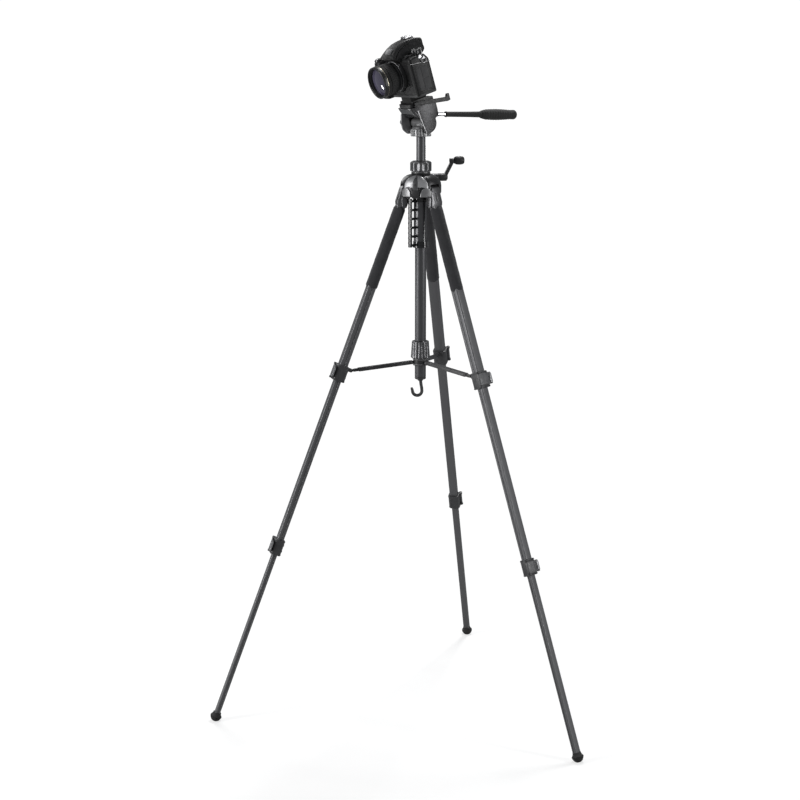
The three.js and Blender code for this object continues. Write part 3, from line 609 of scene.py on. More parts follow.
def leg_knuckle(n):
    work = Build()
    neck = [
        (-9.5, -36, 2), (9.5, -36, 2), (12.6, -29, 2), (13.6, -6, 3), (13.9, 3, 8), (8, 12.4, 10),
        (0, 13.9, 10), (-8, 12.4, 10), (-13.9, 3, 8), (-11.5, -14, 4),
    ]
    work.side(filleted(neck, 2, 6), -11.8, 11.8, 1.6)
    for side in (-1, 1):
        work.lathe(crowned(10.4, 12.3, 8.2, 0.9), ALONG_Y if side > 0 else ALONG_Y @ spun(180, "X"), 40)
    work.lathe(crowned(-15.2, 15.2, 3.0, 0.5), ALONG_Y, 28)
    work.side(filleted([
        (13.2, -27, 1), (14.6, -26, 1), (14.8, -8, 2), (13.5, -7, 1),
    ], 1, 4), -4.5, 4.5, 1)
    lobe = filleted([
        (-11, -36, 2), (-1, -36.4, 3), (5, -24, 5), (8.4, -14, 4), (-3, -13, 4), (-11, -20, 5),
    ], 2, 5)
    for side in (-1, 1):
        faces = sorted((side * 10.5, side * 14.4))
        work.side(lobe, faces[0], faces[1], 2.0)
    work.object(
        f"leg_{n}_knuckle", "casting", f"leg_{n}", "casting_grey", LEGS[n], [f"leg_{n}_upper_section"],
    )


def foam_grip(n):
    work = Build()
    low, high, rings = -225.3, -37.2, []
    stations = 40
    for k in range(stations + 1):
        z = low + (high - low) * k / stations
        end = min(z - low, high - z)
        pull = 2.2 * (1 - min(end / 5, 1)) ** 2
        swell = 0.12 * sin(z * 0.19) + 0.1 * sin(z * 0.53 + 1)
        a, b = 13.1 - pull + swell, 13.9 - pull + swell
        ring = []
        for i in range(48):
            t = TAU * i / 48
            c, s = cos(t), sin(t)
            ring.append((a * copysign(abs(c) ** 0.92, c), b * copysign(abs(s) ** 0.92, s), z))
        rings.append(ring)
    bore = [(cos(TAU * i / 48), sin(TAU * i / 48)) for i in range(48)]
    bore = [(9.3 * copysign(abs(c) ** 0.5, c), 11.3 * copysign(abs(s) ** 0.5, s)) for c, s in bore]
    rings += [[(x, y, z) for x, y in bore] for z in (high, low)]
    work.loft(rings, wrap=True)
    grip = work.object(
        f"leg_{n}_foam_sleeve", "foam", f"leg_{n}", "foam", LEGS[n], [f"leg_{n}_foam_grip"], 60,
    )


def lock_shell(n, level, lock, body):
    """The clamp housing: the CAD shell with rounded edges, step rims, two screws and a pin."""
    d, w = lock["depth"] / 2, lock["width"] / 2
    name = f"leg_{n}_{level}_lock"
    refine(name, "lock", 0.7)
    work = Build()
    for z in (lock["bottom"] + 1.2, lock["top"] - 3.4):
        work.pipe(
            rectangle(2 * d + 1.0, 2 * w + 0.8, 6.4), rectangle(2 * d - 2.0, 2 * w - 2.4, 5), z, z + 2.2,
            0.5,
        )
    middle = (lock["bottom"] + lock["top"]) / 2
    for z in (middle + 7, middle - 7):
        work.screw(2.4, 1.0, moved(-d + 0.2, 6.5, z) @ spun(-90, "Y"))
    work.lathe(crowned(lock["bottom"] + 0.6, lock["top"] - 0.6, 1.5, 0.3), moved(d - 1, -w - 1, 0), 20)
    work.object(f"{name}_trim", "lock", body, "black_plastic", LEGS[n])


def lock_lever(n, level, lock):
    low, high = lock["bottom"] + 5, lock["top"] - 5
    d, w = lock["depth"] / 2, lock["width"] / 2
    x, y = d - 1, -w - 1
    outline = filleted([
        (x - 2.6, y - 2.6, 3), (x + 3.2, y - 3.0, 3), (d + 3.2, y + 5, 3), (d + 4.2, 0, 6),
        (d + 3.6, w - 7, 3), (d + 5.8, w - 2, 2), (d + 6.0, w + 1, 0.8), (d + 4.6, w + 1.2, 0.8),
        (d + 2.6, w - 4, 2), (d + 0.9, w - 6, 1), (d + 0.9, y + 5, 2), (x + 1.6, y + 3, 2),
        (x - 2.6, y + 2.8, 3),
    ], 1, 5)
    work = Build().prism(outline, low, high, 1.3)
    middle = (low + high) / 2
    for k in (-2, -1, 0, 1, 2):
        work.box(
            (d + 4.4, w - 6.5, middle + k * 3.4 - 0.5), (d + 6.1, w - 1.5, middle + k * 3.4 + 0.5), 0.3,
        )
    body = f"leg_{n}_upper_clamp" if level == "middle" else f"leg_{n}_lower_clamp"
    # A thin silver strip on the lever's free end: a painted highlight where the lever's curved face catches the
    # light.
    painted_highlight_strip = Build().prism(filleted([
        (d + 5.4, w - 3.4), (d + 6.4, w - 3.4), (d + 6.6, w + 1.7), (d + 3.2, w + 1.9),
        (d + 3.2, w + 0.9), (d + 5.5, w + 0.7),
    ], 0.4, 4), low + 3.4, high - 3.4, 0.3)
    painted_highlight_strip.object(f"leg_{n}_{level}_lever_inlay", "silver", body, "silver_button", LEGS[n])
    work.object(
        f"leg_{n}_{level}_clamp_lever", "lever", body, "lever_grey", LEGS[n], [f"leg_{n}_{level}_lever"],
    )


def ball_foot(n):
    hinge = LEGS[n].translation.z / MM
    lean = acos(LEGS[n].col[2].z)
    centre = (12 - hinge) / cos(lean)
    profile = [(0, -12.9), (4.6, -12.2), (7.6, -10.5)]
    for r, z in ((9.6, -8.4), (11.2, -6.0), (12.3, -3.6), (13.0, -1.2)):
        profile += [(r - 0.9, z - 0.7), (r, z - 0.3), (r, z + 0.5), (r - 0.7, z + 0.8)]
    profile += [(12.9, 0.2), (11.8, 1.8), (10.4, 3.8), (9.5, 6.0), (9.2, 8.4), (8.4, 8.9), (0, 8.9)]
    work = Build().lathe(profile, moved(0, 0, centre), 48)
    piece = work.object(
        f"leg_{n}_ball_foot", "rubber", f"leg_{n}_lower", "rubber_black", LEGS[n], [f"leg_{n}_foot"], 25,
        True,
    )
    for vertex in piece.data.vertices:
        vertex.co.z = max(vertex.co.z, 0.0)


def leg(n):
    leg_tube(n, "upper", -436.6, -33, 19, 23, 5.6, f"leg_{n}")
    leg_knuckle(n)
    foam_grip(n)
    leg_tube(n, "middle", -851.5, -388, 15, 19, 4.6, f"leg_{n}_middle")
    leg_tube(n, "lower", -1244.8, -802, 11, 15, 3.8, f"leg_{n}_lower")
    lock_shell(n, "middle", UPPER_LOCK, f"leg_{n}")
    lock_shell(n, "lower", LOWER_LOCK, f"leg_{n}_middle")
    lock_lever(n, "middle", UPPER_LOCK)
    lock_lever(n, "lower", LOWER_LOCK)
    ball_foot(n)


for number in (1, 2, 3):
    leg(number)

# ------------------------------------------------------------------ shoulder, column and spreader
COVER_AZIMUTH = -15
HANDLE_AZIMUTH = -38

# Heights on the dome and its radius there
COVER_PROFILE = [
    (1186, 47.5), (1192, 47.6), (1197, 47.2), (1203, 45.9), (1208, 43.6), (1212, 40.6), (1215, 37.2),
    (1217, 33.6), (1218.4, 29.5),
]


def cover_patch(work, left, right, foot, crown, lift, columns=28):
    """A shell over the dome between two azimuths in degrees, under an arch."""
    rows = 14
    rings = []
    for i in range(columns + 1):
        t = 2 * i / columns - 1
        angle = radians((left + right) / 2 + t * (right - left) / 2)
        top = foot(t) + (crown - foot(t)) * max(0.0, 1 - abs(t) ** 2.6) ** 0.5
        outer, inner = [], []
        for k in range(rows + 1):
            z = foot(t) + (max(top, foot(t) + 1.5) - foot(t)) * k / rows
            edge = min(1.0, (1 - abs(t)) * 9, k / 1.5 + 0.3, (rows - k) / 1.5 + 0.3)
            r = between(COVER_PROFILE, z) + lift - 1.4 * (1 - edge) ** 2
            outer.append((r * cos(angle), r * sin(angle), z))
            inner.append(((r - 4) * cos(angle), (r - 4) * sin(angle), z - 0.8))
        rings.append(outer + inner[::-1])
    work.loft(rings)


def shoulder():
    refine("shoulder_casting", "casting_dark", 0.8)
    work, bosses = Build(), Build()
    work.lathe([
        (14.5, 1219.4), (20.6, 1219.4), (21.4, 1220.4), (20.4, 1224.2), (19, 1225.1), (14.5, 1225.1),
    ], sides=72, wrap=True)
    work.lathe([
        (30, 1171.2), (39.6, 1171.2), (40.4, 1172.2), (39.6, 1173.2), (30, 1173.2),
    ], sides=72, wrap=True)
    for n in (1, 2, 3):
        turn = TRIPOD.inverted() @ sector_frame(n)
        for side in (-1, 1):
            face = turn @ moved(33.4, side * 15.9, 1184) @ spun(-90 * side, "X")
            work.screw(3.6, 2.4, face)
            bosses.lathe([
                (0, -1), (9.4, -1), (10.2, -0.4), (10.2, 0.4), (9.0, 1.4), (4.6, 1.9), (4.4, 0.8),
                (0, 0.8),
            ], face, 48)
    bosses.object("shoulder_hinge_bosses", "casting", "frame", "casting_grey", TRIPOD)
    work.object("shoulder_trim", "black", "frame", "black_plastic", TRIPOD)
    place = azimuth_frame(COVER_AZIMUTH)
    cover = Build()
    cover_patch(cover, -36, 36, lambda t: 1190.5 + 3.5 * (1 - abs(2 * abs(t) - 1)), 1218.2, 0.5)
    cover.object(
        "shoulder_cover_arched", "bright", "frame", "bright_grey", place, ["shoulder_front_cover"],
    )
    lobes = Build()
    for left, right in ((-47, -13), (13, 47)):
        cover_patch(lobes, left, right, lambda t: 1172.6, 1191.5, -0.2, 16)
    lobes.object("shoulder_lobes", "casting_light", "frame", "casting_grey", place)
    grooves = Build()
    cover_patch(grooves, -13, 13, lambda t: 1187.4, 1217.9, 0.35, 12)
    grooves.object("shoulder_cover_grooves", "black", "frame", "black_plastic", place)
    rib = Build()
    cover_patch(rib, -8, 8, lambda t: 1187.2, 1217.6, 0.9, 10)
    rib.object("shoulder_cover_rib", "casting", "frame", "casting_grey", place)
    mark = Build().lathe(crowned(46.6, 49.0, 1.5, 0.4), moved(0, 0, 1199) @ ALONG_X, 24)
    mark.object("shoulder_cover_screw", "black", "frame", "black_plastic", place)
    bracket = Build().side(filleted([
        (12.9, 1169.5, 1), (44, 1169.5, 2), (47.2, 1176, 3), (47.2, 1187, 1), (43, 1187, 1),
        (40, 1173.4, 1), (12.9, 1173.4, 1),
    ], 1), -8.5, 8.5, 1)
    bracket.object("shoulder_front_bracket", "black", "frame", "black_plastic", place)


def collar_flutes(depth, lobes, low, high):
    return flutes(low, high, 3.5, 3.5, lambda angle: depth * (1 - cos(lobes * angle)) / 2)


CRANK_SIDE = TRIPOD.inverted() @ azimuth_frame(105)  # the rack faces the crank's pinion


def column_parts():
    work = Build().lathe([
        (10.6, 770.2), (12.4, 770.2), (12.5, 770.6), (12.5, 1171), (10.6, 1171),
    ], sides=72, wrap=True)
    work.object("fixed_tube_drawn", "tube_dark", "frame", "tube_grey", TRIPOD, ["fixed_tube"])
    column = Build().lathe([
        (7.1, 840.3), (9.6, 840.3), (10, 840.8), (10, 1299.9), (9.6, 1300.3), (7.1, 1300.3),
    ], sides=72, wrap=True)
    for k in range(72):
        z = 943.6 + k * 4.712
        column.box((-0.5, -2.6, z), (0.5, 2.6, z + 2.1), 0.2, CRANK_SIDE @ moved(10.0, 0, 0))
    column.object("centre_column_drawn", "tube_dark", "column", "tube_grey", TRIPOD, ["centre_column"])
    collar = Build()
    low, high = 1225.6, 1246
    collar.lathe(
        knob_profile(13.0, 23.4, low, high, 2.2), sides=192, wave=collar_flutes(2.6, 8, low, high),
        wrap=True,
    )
    collar.lathe([
        (12.2, 1240.9), (12.2, 1247), (21, 1247), (21.4, 1246.4), (21.4, 1245), (12.4, 1240.9),
    ], sides=96, wrap=True)
    collar.object(
        "column_collar_fluted", "casting", "column_collar", "casting_grey", TRIPOD,
        ["column_lock_collar"],
    )
    cap = Build().lathe([
        (10.5, 1242), (10.5, 1248.3), (17.4, 1248.3), (19.6, 1247.4), (19.8, 1246.8), (13, 1246.6),
        (13, 1242),
    ], sides=96, wrap=True)
    cap.object("column_collar_cap", "gloss", "column_collar", "gloss_black", TRIPOD)
    ring = Build().lathe(
        knob_profile(13, 20.4, 1219.6, 1225.2, 0.8), sides=240,
        wave=collar_flutes(0.7, 48, 1219.6, 1225.2), wrap=True,
    )
    ring.object("column_collar_seat", "bright", "frame", "bright_grey", TRIPOD)


def carrying_handle():
    refine("carrying_handle", "gloss", 0.9)
    work = Build()
    place = azimuth_frame(HANDLE_AZIMUTH)
    for z in (1062, 1166):
        work.lathe(knob_profile(13, 17.4, z - 3, z + 3, 0.8), sides=72, wrap=True)
    arc = [radians(-62 + 124 * k / 24) for k in range(25)]
    spine = [(15.6 * cos(a), 15.6 * sin(a)) for a in arc]
    spine += [(13 * cos(a), 13 * sin(a)) for a in reversed(arc)]
    half_pipe = Build().prism(spine, 1060, 1168, 0.4)
    half_pipe.object("carrying_handle_spine", "casting", "frame", "gloss_black", place)
    for k in range(9):
        work.box((39.4, -3.6, 1070 + k * 10.8), (40.5, 3.6, 1073.4 + k * 10.8), 0.4)
    work.object("carrying_handle_trim", "gloss", "frame", "gloss_black", place)


def crank():
    refine("column_crank", "black", 0.7)
    knob = Build()
    outline = [(2.7, 80.2), (6.3, 80.2), (7.2, 80.8), (7.9, 82.6)]
    for k in range(13):
        s = k / 12
        outline.append((8.2 + 1.35 * sin(pi * (0.15 + 0.7 * s)), 84 + 15 * s))
    outline += [(7.9, 100.8), (6.6, 102), (4.4, 102.4), (2.7, 102.4)]
    knob.lathe(
        outline, moved(0, 0, 36) @ ALONG_X, 64,
        wave=lambda a, h: 0.35 * max(0, cos(14 * a)) * (84 < h < 99), wrap=True,
    )
    knob.object("crank_knob_turned", "black", "knob", "black_plastic", CRANK, ["crank_knob"])
    hub = Build().lathe(crowned(61.6, 64.4, 6.2, 1.0), ALONG_X, 40)
    hub.screw(2.6, 1.0, moved(64.2, 0, 0) @ ALONG_X)
    hub.object("crank_hub_cap", "lever", "crank", "lever_grey", CRANK)


def spreader():
    refine("spreader_hub", "black", 0.4)
    low, high = 812.9, 850.8
    work = Build()
    grooves = flutes(low, high, 4, 5, lambda angle: 1.9 * (1 - abs(cos(6 * angle)) ** 0.7))
    work.lathe(knob_profile(13.1, 21.4, low, high, 1.6, 2.4), sides=192, wave=grooves, wrap=True)
    work.object(
        "spreader_collar_fluted", "casting", "spreader_collar", "casting_grey", TRIPOD,
        ["spreader_lock_collar"],
    )
    hub = Build().lathe(knob_profile(13.2, 17.3, 797.6, 800.4, 0.8), sides=72, wrap=True)
    hub.lathe(knob_profile(13.2, 17.3, 808.6, 811.6, 0.8), sides=72, wrap=True)
    for n in (1, 2, 3):
        turn = TRIPOD.inverted() @ sector_frame(n)
        hub.lathe(crowned(-5.4, 5.4, 2.0, 0.5), turn @ moved(20.8, 0, 803) @ ALONG_Y, 24)
    hub.object("spreader_hub_trim", "lever", "hub", "lever_grey", TRIPOD)


def spreader_arm(n):
    """A pressed channel with a rounded end, and a pinned link that stops short of the leg's pivot."""
    joint = JOINT[f"spreader_arm_{n}_swing"]
    reach, drop = 138.0, 12.6
    x = sector_frame(n).col[0].xyz * reach - UP * drop
    place = axes_frame(joint["pos_m"], x.normalized(), Vector(joint["axis"]))
    length = hypot(reach, drop)
    work = Build()
    flange = filleted([(-4, -4, 3.8), (-4, 4, 3.8), (length - 16, 4, 0.4), (length - 16, -4, 3)], 1, 6)
    for side in (-1, 1):
        faces = sorted((side * 3.3, side * 4.5))
        work.side(flange, faces[0], faces[1], 0.35)
    work.box((4, -4.5, 2.7), (length - 16, 4.5, 4.1), 0.45)
    work.object(
        f"spreader_arm_{n}_channel", "lock", f"arm_{n}", "tube_grey", place, [f"spreader_arm_{n}"],
    )
    link = Build().side(filleted([
        (length - 26, -3.2, 2), (length - 26, 3.2, 2), (length - 3.5, 3.2, 3), (length - 3.5, -3.2, 3),
    ], 1, 6), -2.9, 2.9, 0.5)
    link.lathe(crowned(-5.0, 5.0, 1.9, 0.4), moved(length - 20.5, 0, 0) @ ALONG_Y, 24)
    link.object(f"spreader_arm_{n}_end", "black", f"arm_{n}", "black_plastic", place)


def weight_hook():
    work = Build()
    path = [(0, 0, 767), (0.5, 0, 760), (1.6, 0, 752), (3.0, 0, 744)]
    for k in range(17):
        t = -pi * (k / 16)
        path.append((-7 + 10.5 * cos(t), 0, 737 + 10.5 * sin(t)))
    path += [(-18.6, 0, 741), (-19.8, 0, 744.5)]
    radii = [3.6] * (len(path) - 3) + [3.4, 3.1, 2.4]
    work.tube(path, radii, 20)
    work.lathe([
        (0, 764.4), (11.2, 764.4), (12.3, 765.2), (12.5, 766.2), (12.5, 769), (11.8, 769.8), (0, 769.8),
    ], sides=64)
    work.lathe(crowned(760.6, 765, 6.2, 1.2), sides=40)
    work.object("weight_hook_bent", "lock", "hook", "black_plastic", TRIPOD, ["weight_hook"])


shoulder()
column_parts()
carrying_handle()
crank()
spreader()
for number in (1, 2, 3):
    spreader_arm(number)
weight_hook()

# ------------------------------------------------------------------ head
TILT_HEIGHT = 1329.5  # of the tilt axis over the floor
CHEEK = 29.3  # from the middle to a cheek's outer face


def pan_parts():
    low, high = 1300.9, 1316.8
    ring = Build()
    grooves = flutes(low, high, 2, 2, lambda angle: 1.5 * (1 - max(0.0, cos(22 * angle)) ** 0.6))
    ring.lathe(knob_profile(9, 22.4, low, high, 1.2), sides=352, wave=grooves, wrap=True)
    ring.lathe([(0, 1302), (9.5, 1302), (9.5, 1316), (0, 1316)], sides=32)
    ring.object("pan_ring_fluted", "casting_light", "column", "bright_grey", PAN, ["pan_ring"])
    head = Build().lathe([
        (0, 1317.4), (19.4, 1317.4), (20, 1318), (19.6, 1319.6), (18.2, 1321), (16, 1322.6),
        (14.4, 1324.6), (13.6, 1327), (0, 1327),
    ], sides=72)
    head.lathe([
        (0, -24.4), (10.4, -24.4), (11.3, -23.6), (11.5, -22), (11.5, -14.2), (10.9, -13.6),
        (10.9, -12.8), (11.5, -12.2), (11.5, 12.2), (10.9, 12.8), (10.9, 13.6), (11.5, 14.2), (11.5, 22),
        (11.3, 23.6), (10.4, 24.4), (0, 24.4),
    ], moved(0, 0, TILT_HEIGHT) @ ALONG_Y, 72)
    head.lathe(crowned(-28, 28, 4.9, 0.5), moved(0, 0, TILT_HEIGHT) @ ALONG_Y, 32)
    head.object("head_body_turned", "casting_light", "head", "casting_grey", PAN, ["head_body"])


def tilt_parts():
    refine("tilt_frame", "casting_dark", 0.9)
    work = Build()
    face = moved(0, -CHEEK, 0) @ spun(90, "X")
    work.lathe([(0, 0), (9.6, 0), (10, 0.5), (9.6, 1.2), (8.2, 1.3), (7.8, 0.7), (0, 0.7)], face, 56)
    work.screw(4.2, 2.0, face)
    work.object("tilt_frame_caps", "black", "tilt", "black_plastic", TILT)
    apron = Build().side(filleted([
        (30.9, 40.6), (26.2, 28.4, 4), (17.4, 17.6), (15.4, 18.9), (24.2, 30.2, 4), (29, 41.4),
    ], 0.7, 4), -23.4, 23.4, 0.6)
    apron.object("tilt_frame_apron", "shiny", "tilt", "casting_grey", TILT)
    near = Build().side([(12, 40), (19, 40), (18.2, 32), (13.6, 3), (12, 3)], 25.4, 29.4, 0.4)
    near.object("tilt_near_cheek_front", "casting_dark", "tilt", "casting_grey", TILT)
    # A thin light grey strip along the near cheek's front edge: a painted highlight where the chamfer catches the
    # light.
    trim = Build().side([(16.4, 34), (18.6, 34), (11, -18), (8.8, -19.2)], 29.2, 30.0, 0.3)
    trim.object("tilt_cheek_painted_highlight", "casting_light", "tilt", "casting_grey", TILT)
    # The far cheek takes the lighter grey and the near cheek the dark grey: painted light on a face that the lamps
    # leave in shade.
    far = Build().side(filleted([
        (10, 36, 4), (27, 28, 5), (33, 10, 12), (33, -6, 12), (24, -18, 10), (8, -21, 8), (-4, -10, 8),
        (0, 10, 4),
    ], 4, 8), -CHEEK, -25.3, 1.3)
    far.object("tilt_far_cheek_painted_light", "casting_light", "tilt", "casting_grey", TILT)
    lock = Build()
    for x, z in ((25, 9), (20, -7)):
        knob = moved(x, -CHEEK, z) @ spun(90, "X")
        lock.lathe([
            (0, -1), (5.0, -1), (5.6, 1), (5.6, 6), (4.8, 7.2), (0, 7.6),
        ], knob, 96, wave=lambda a, h: 0.5 * (1 - cos(12 * a)) / 2 * (1 < h < 6))
    lock.object("tilt_lock_knobs", "lever", "tilt", "black_plastic", TILT)
    boss = Build()
    turned = TILT.inverted() @ HANDLE
    turned.translation /= MM
    boss.lathe(
        knob_profile(4.5, 8.3, 6.0, 11.2, 0.9), turned @ ALONG_X, 160,
        wave=lambda a, h: 0.5 * max(0, cos(20 * a)), wrap=True,
    )
    boss.object("pan_handle_socket", "black", "tilt", "black_plastic", TILT)
    refine("camera_platform", "black", 0.8)
    refine("release_lever", "black", 1.0)
    refine("quick_release_plate", "rubber", 0.6)
    cork = Build().prism(rectangle(38, 35, 3), 63.2, 64.8, 0.5)
    cork.on_camera("quick_release_pad", "rubber", "rubber_black")


def pan_handle():
    rod = Build().lathe([(0, 0.4), (3.6, 0.4), (4, 0.8), (4, 176), (0, 176)], ALONG_X, 48)
    rod.object("pan_handle_rod_bright", "chrome", "handle", "chrome_rod", HANDLE, ["pan_handle_rod"])
    grip = Build()
    profile = [
        (4.3, 36.2), (5.6, 36.2), (6.2, 37), (6.3, 40), (5.7, 41), (5.8, 60), (6.1, 100), (6.6, 126),
        (7.4, 130),
    ]
    start, end, ribs = 131.0, 219.0, 13
    steps = ribs * 6
    for k in range(steps + 1):
        s = k / steps
        belly = 10.6 + 1.7 * sin(pi * min(s * 1.15, 1)) - 2.2 * max(0, 0.12 - s) / 0.12
        rib = 0.55 * (0.5 - 0.5 * cos(TAU * ribs * s)) if 0.04 < s < 0.96 else 0
        profile.append((belly - rib, start + (end - start) * s))
    profile += [(9.6, 221.4), (8.2, 223), (5, 223.9), (0, 224)]
    grip.lathe([(0, 36.2)] + profile, ALONG_X, 72)
    grip.object("pan_handle_ribbed_grip", "rubber", "handle", "rubber_black", HANDLE, ["pan_handle_grip"])


pan_parts()
tilt_parts()
pan_handle()

# ------------------------------------------------------------------ camera
LENS_Z = 114
LENS = moved(0, 0, LENS_Z) @ ALONG_X
BOTTOM, TOP, FRONT, REAR, LEFT, RIGHT = 65, 151, 26, -24, 62, -66

# The hump's side view: x with the heights of its underside and its top.
HUMP = [
    (-39.5, 156, 164), (-38, 152.5, 169), (-35, 150, 175), (-31.5, 148, 180), (-26, 146, 181.6),
    (-8, 142, 182), (-6.3, 142, 181.9), (-5.7, 142, 181.8), (4, 141, 180.6), (14, 140.5, 178.4),
    (24, 140, 173.3), (33, 149.3, 167), (39, 149.3, 161), (43.4, 150.5, 155.4),
]
# Where the flash parts from the hump: x with the height of the gap.
FLASH_LINE = [(-6, 173.5), (10, 170.5), (28, 161.5), (36, 153.5), (60, 153.5)]

# Heights on the hump and half its width there
HUMP_WIDTHS = [(138, 34), (158, 27), (174, 20), (183, 15.5)]
EYE_HEIGHT = 166
DIAL = moved(-8, 45, 0)
SHUTTER = moved(32, -52, 0)
RELEASE = moved(0, 44, 96) @ ALONG_X


def hump_ring(x, low, high, crown=1.0, corner=4.5):
    """One upright section of the hump, with a slightly crowned top."""
    middle = (low + high) / 2
    wl, wm, wh = (between(HUMP_WIDTHS, z) - 0.4 for z in (low, middle, high))
    outline = filleted([
        (-wl, low, 0.6), (wl, low, 0.6), (wm, middle, 3), (wh, high - crown, corner), (0, high, 14),
        (-wh, high - crown, corner), (-wm, middle, 3),
    ], 2, 5)
    return [(x, y, z) for y, z in outline]


def camera_body():
    body = Build()
    middle = filleted([
        (REAR, BOTTOM, 5), (FRONT, BOTTOM, 5), (FRONT, TOP - 3, 7), (8, TOP + 0.4, 9),
        (REAR + 10, TOP + 0.4, 11), (REAR, TOP - 13, 13),
    ], 4, 8)
    body.side(middle, RIGHT, LEFT, 5.5)
    grip = filleted([
        (0, RIGHT + 0.4, 1), (FRONT + 15, RIGHT + 0.4, 14), (FRONT + 15.6, RIGHT + 25, 12),
        (FRONT + 1, RIGHT + 31, 7), (0, RIGHT + 33, 1),
    ], 2, 8)
    body.prism(grip, BOTTOM + 1, 148.5, 6)
    fixed = [station for station in HUMP if station[0] <= -6.2]
    rings = [hump_ring(x, low, high) for x, low, high in fixed]
    for x, low, high in [(-6.1, 142, 173.1)] + [s for s in HUMP if -6 < s[0] < 36]:
        top = min(high, between(FLASH_LINE, x) - 0.4)
        if top - low > 2:
            rings.append(hump_ring(x, low, top, 0.2, 1.0))
    body.loft(rings)
    # Mount pedestal, shoulder slopes under the hump, thumb rest
    body.lathe([
        (0, 12), (36.5, 12), (36.5, 26), (35.6, 30), (33.9, 32.4), (33.2, 33.2), (0, 33.2),
    ], LENS, 96)
    body.side(filleted([(-22, 149, 1), (24, 149, 1), (20, 153.2, 3), (-18, 153.6, 3)], 2), -62, -26, 1.2)
    body.side(filleted([
        (REAR - 4.2, 108, 3), (REAR - 4.6, 140, 5), (REAR + 2, 147, 2), (REAR + 4, 106, 2),
    ], 2), -64, -44, 2)
    # Accessory shoe
    body.box((-29, -10.4, 180), (-9, 10.4, 182.9), 0.4)
    body.object("camera_shell", "shell", "camera", "camera_shell", TILT, ["camera_body"])

    shoe = Build().box((-28, -9.2, 182.4), (-10, 9.2, 184), 0.25)
    for side in (-1, 1):
        near, far = sorted((side * 8.2, side * 9.4))
        shoe.side(filleted([
            (-27.6, 183.6), (-10.2, 183.6), (-10.2, 186.6), (-27.6, 186.6),
        ], 0.4), near, far, 0.3)
        near, far = sorted((side * 6.2, side * 9.4))
        shoe.box((-27.6, near, 185.8), (-10.2, far, 186.8), 0.25)
    shoe.lathe(crowned(183.9, 184.5, 1.6, 0.2), moved(-19, 0, 0), 24)
    shoe.on_camera("accessory_shoe", "silver", "silver_button")

    skin = Build()
    grip = filleted([
        (FRONT - 12, RIGHT - 0.3, 2), (FRONT + 15.7, RIGHT - 0.3, 14), (FRONT + 16.3, RIGHT + 25.3, 12),
        (FRONT + 1.7, RIGHT + 31.3, 6), (FRONT + 0.6, RIGHT + 37, 1), (FRONT - 2, RIGHT + 37, 1),
        (FRONT - 2, RIGHT + 20, 4), (FRONT - 12, RIGHT + 12, 3),
    ], 2, 8)
    skin.prism(grip, 73, 140, 1.2)
    skin.box((FRONT - 3, 51, 74), (FRONT + 0.8, 60.4, 138), 1.0, corner=2)
    skin.box((REAR - 0.8, RIGHT + 3, 78), (REAR + 3, RIGHT + 20, 137), 1.0, corner=3)
    skin.on_camera("camera_grip_skin", "leatherette")

    base = Build().prism(filleted([
        (REAR - 0.3, RIGHT + 4, 8), (FRONT + 1.4, RIGHT + 4, 8), (FRONT + 1.4, LEFT + 0.4, 12),
        (REAR - 0.3, LEFT + 0.4, 8),
    ], 4, 8), BOTTOM + 0.4, BOTTOM + 6.4, 2.2)
    base.on_camera("camera_base_band", "door")
    lines = Build().side(filleted([
        (REAR - 0.2, 131), (FRONT + 0.2, 137), (FRONT + 0.2, 137.8), (REAR - 0.2, 131.8),
    ], 0), RIGHT + 2, LEFT + 0.25, 0.1)
    lines.on_camera("camera_seams", "gloss")


def camera_back():
    work = Build().box((REAR - 3.4, -18, 76), (REAR + 1, 53, 132), 1.4, corner=3)
    work.on_camera("rear_screen_frame", "shell")
    glass = Build().box((REAR - 4.1, -14, 80), (REAR - 3, 49, 127), 0.4, corner=2)
    glass.on_camera("rear_screen_cover", "screen", "lens_black")
    eye = Build().front(rectangle(38, 21, 7, 8, 0, EYE_HEIGHT), -44.5, -36, 2.6)
    eye.on_camera("eyepiece_cup", "rubber", "rubber_black")
    window = Build().front(rectangle(19, 11, 3, 6, 0, EYE_HEIGHT), -45.0, -43.5, 0.5)
    window.on_camera("eyepiece_window", "screen", "lens_black")
    buttons = Build()
    pad = moved(REAR, -36, 112) @ spun(-90, "Y")
    buttons.lathe([
        (0, -1), (11.5, -1), (11.8, 0.6), (11.2, 1.6), (5.4, 1.9), (5.0, 1.2), (4.4, 1.2), (4.2, 2.2),
        (3.4, 2.6), (0, 2.7),
    ], pad, 56)
    for y, z in ((-30, 138), (-40, 140), (-25, 84), (-36, 84), (-25, 128), (30, 138), (42, 138)):
        spot = moved(REAR, y, z) @ spun(-90, "Y")
        buttons.lathe([(0, -1), (3.6, -1), (3.7, 0.8), (3.2, 1.4), (0, 1.5)], spot, 32)
    for z in (141, 132):
        spot = moved(REAR - 3.6, -57, z) @ spun(-90, "Y")
        buttons.lathe([(0, -2), (3.0, -2), (3.1, 0.6), (2.6, 1.2), (0, 1.3)], spot, 32)
    buttons.on_camera("rear_buttons", "gloss")


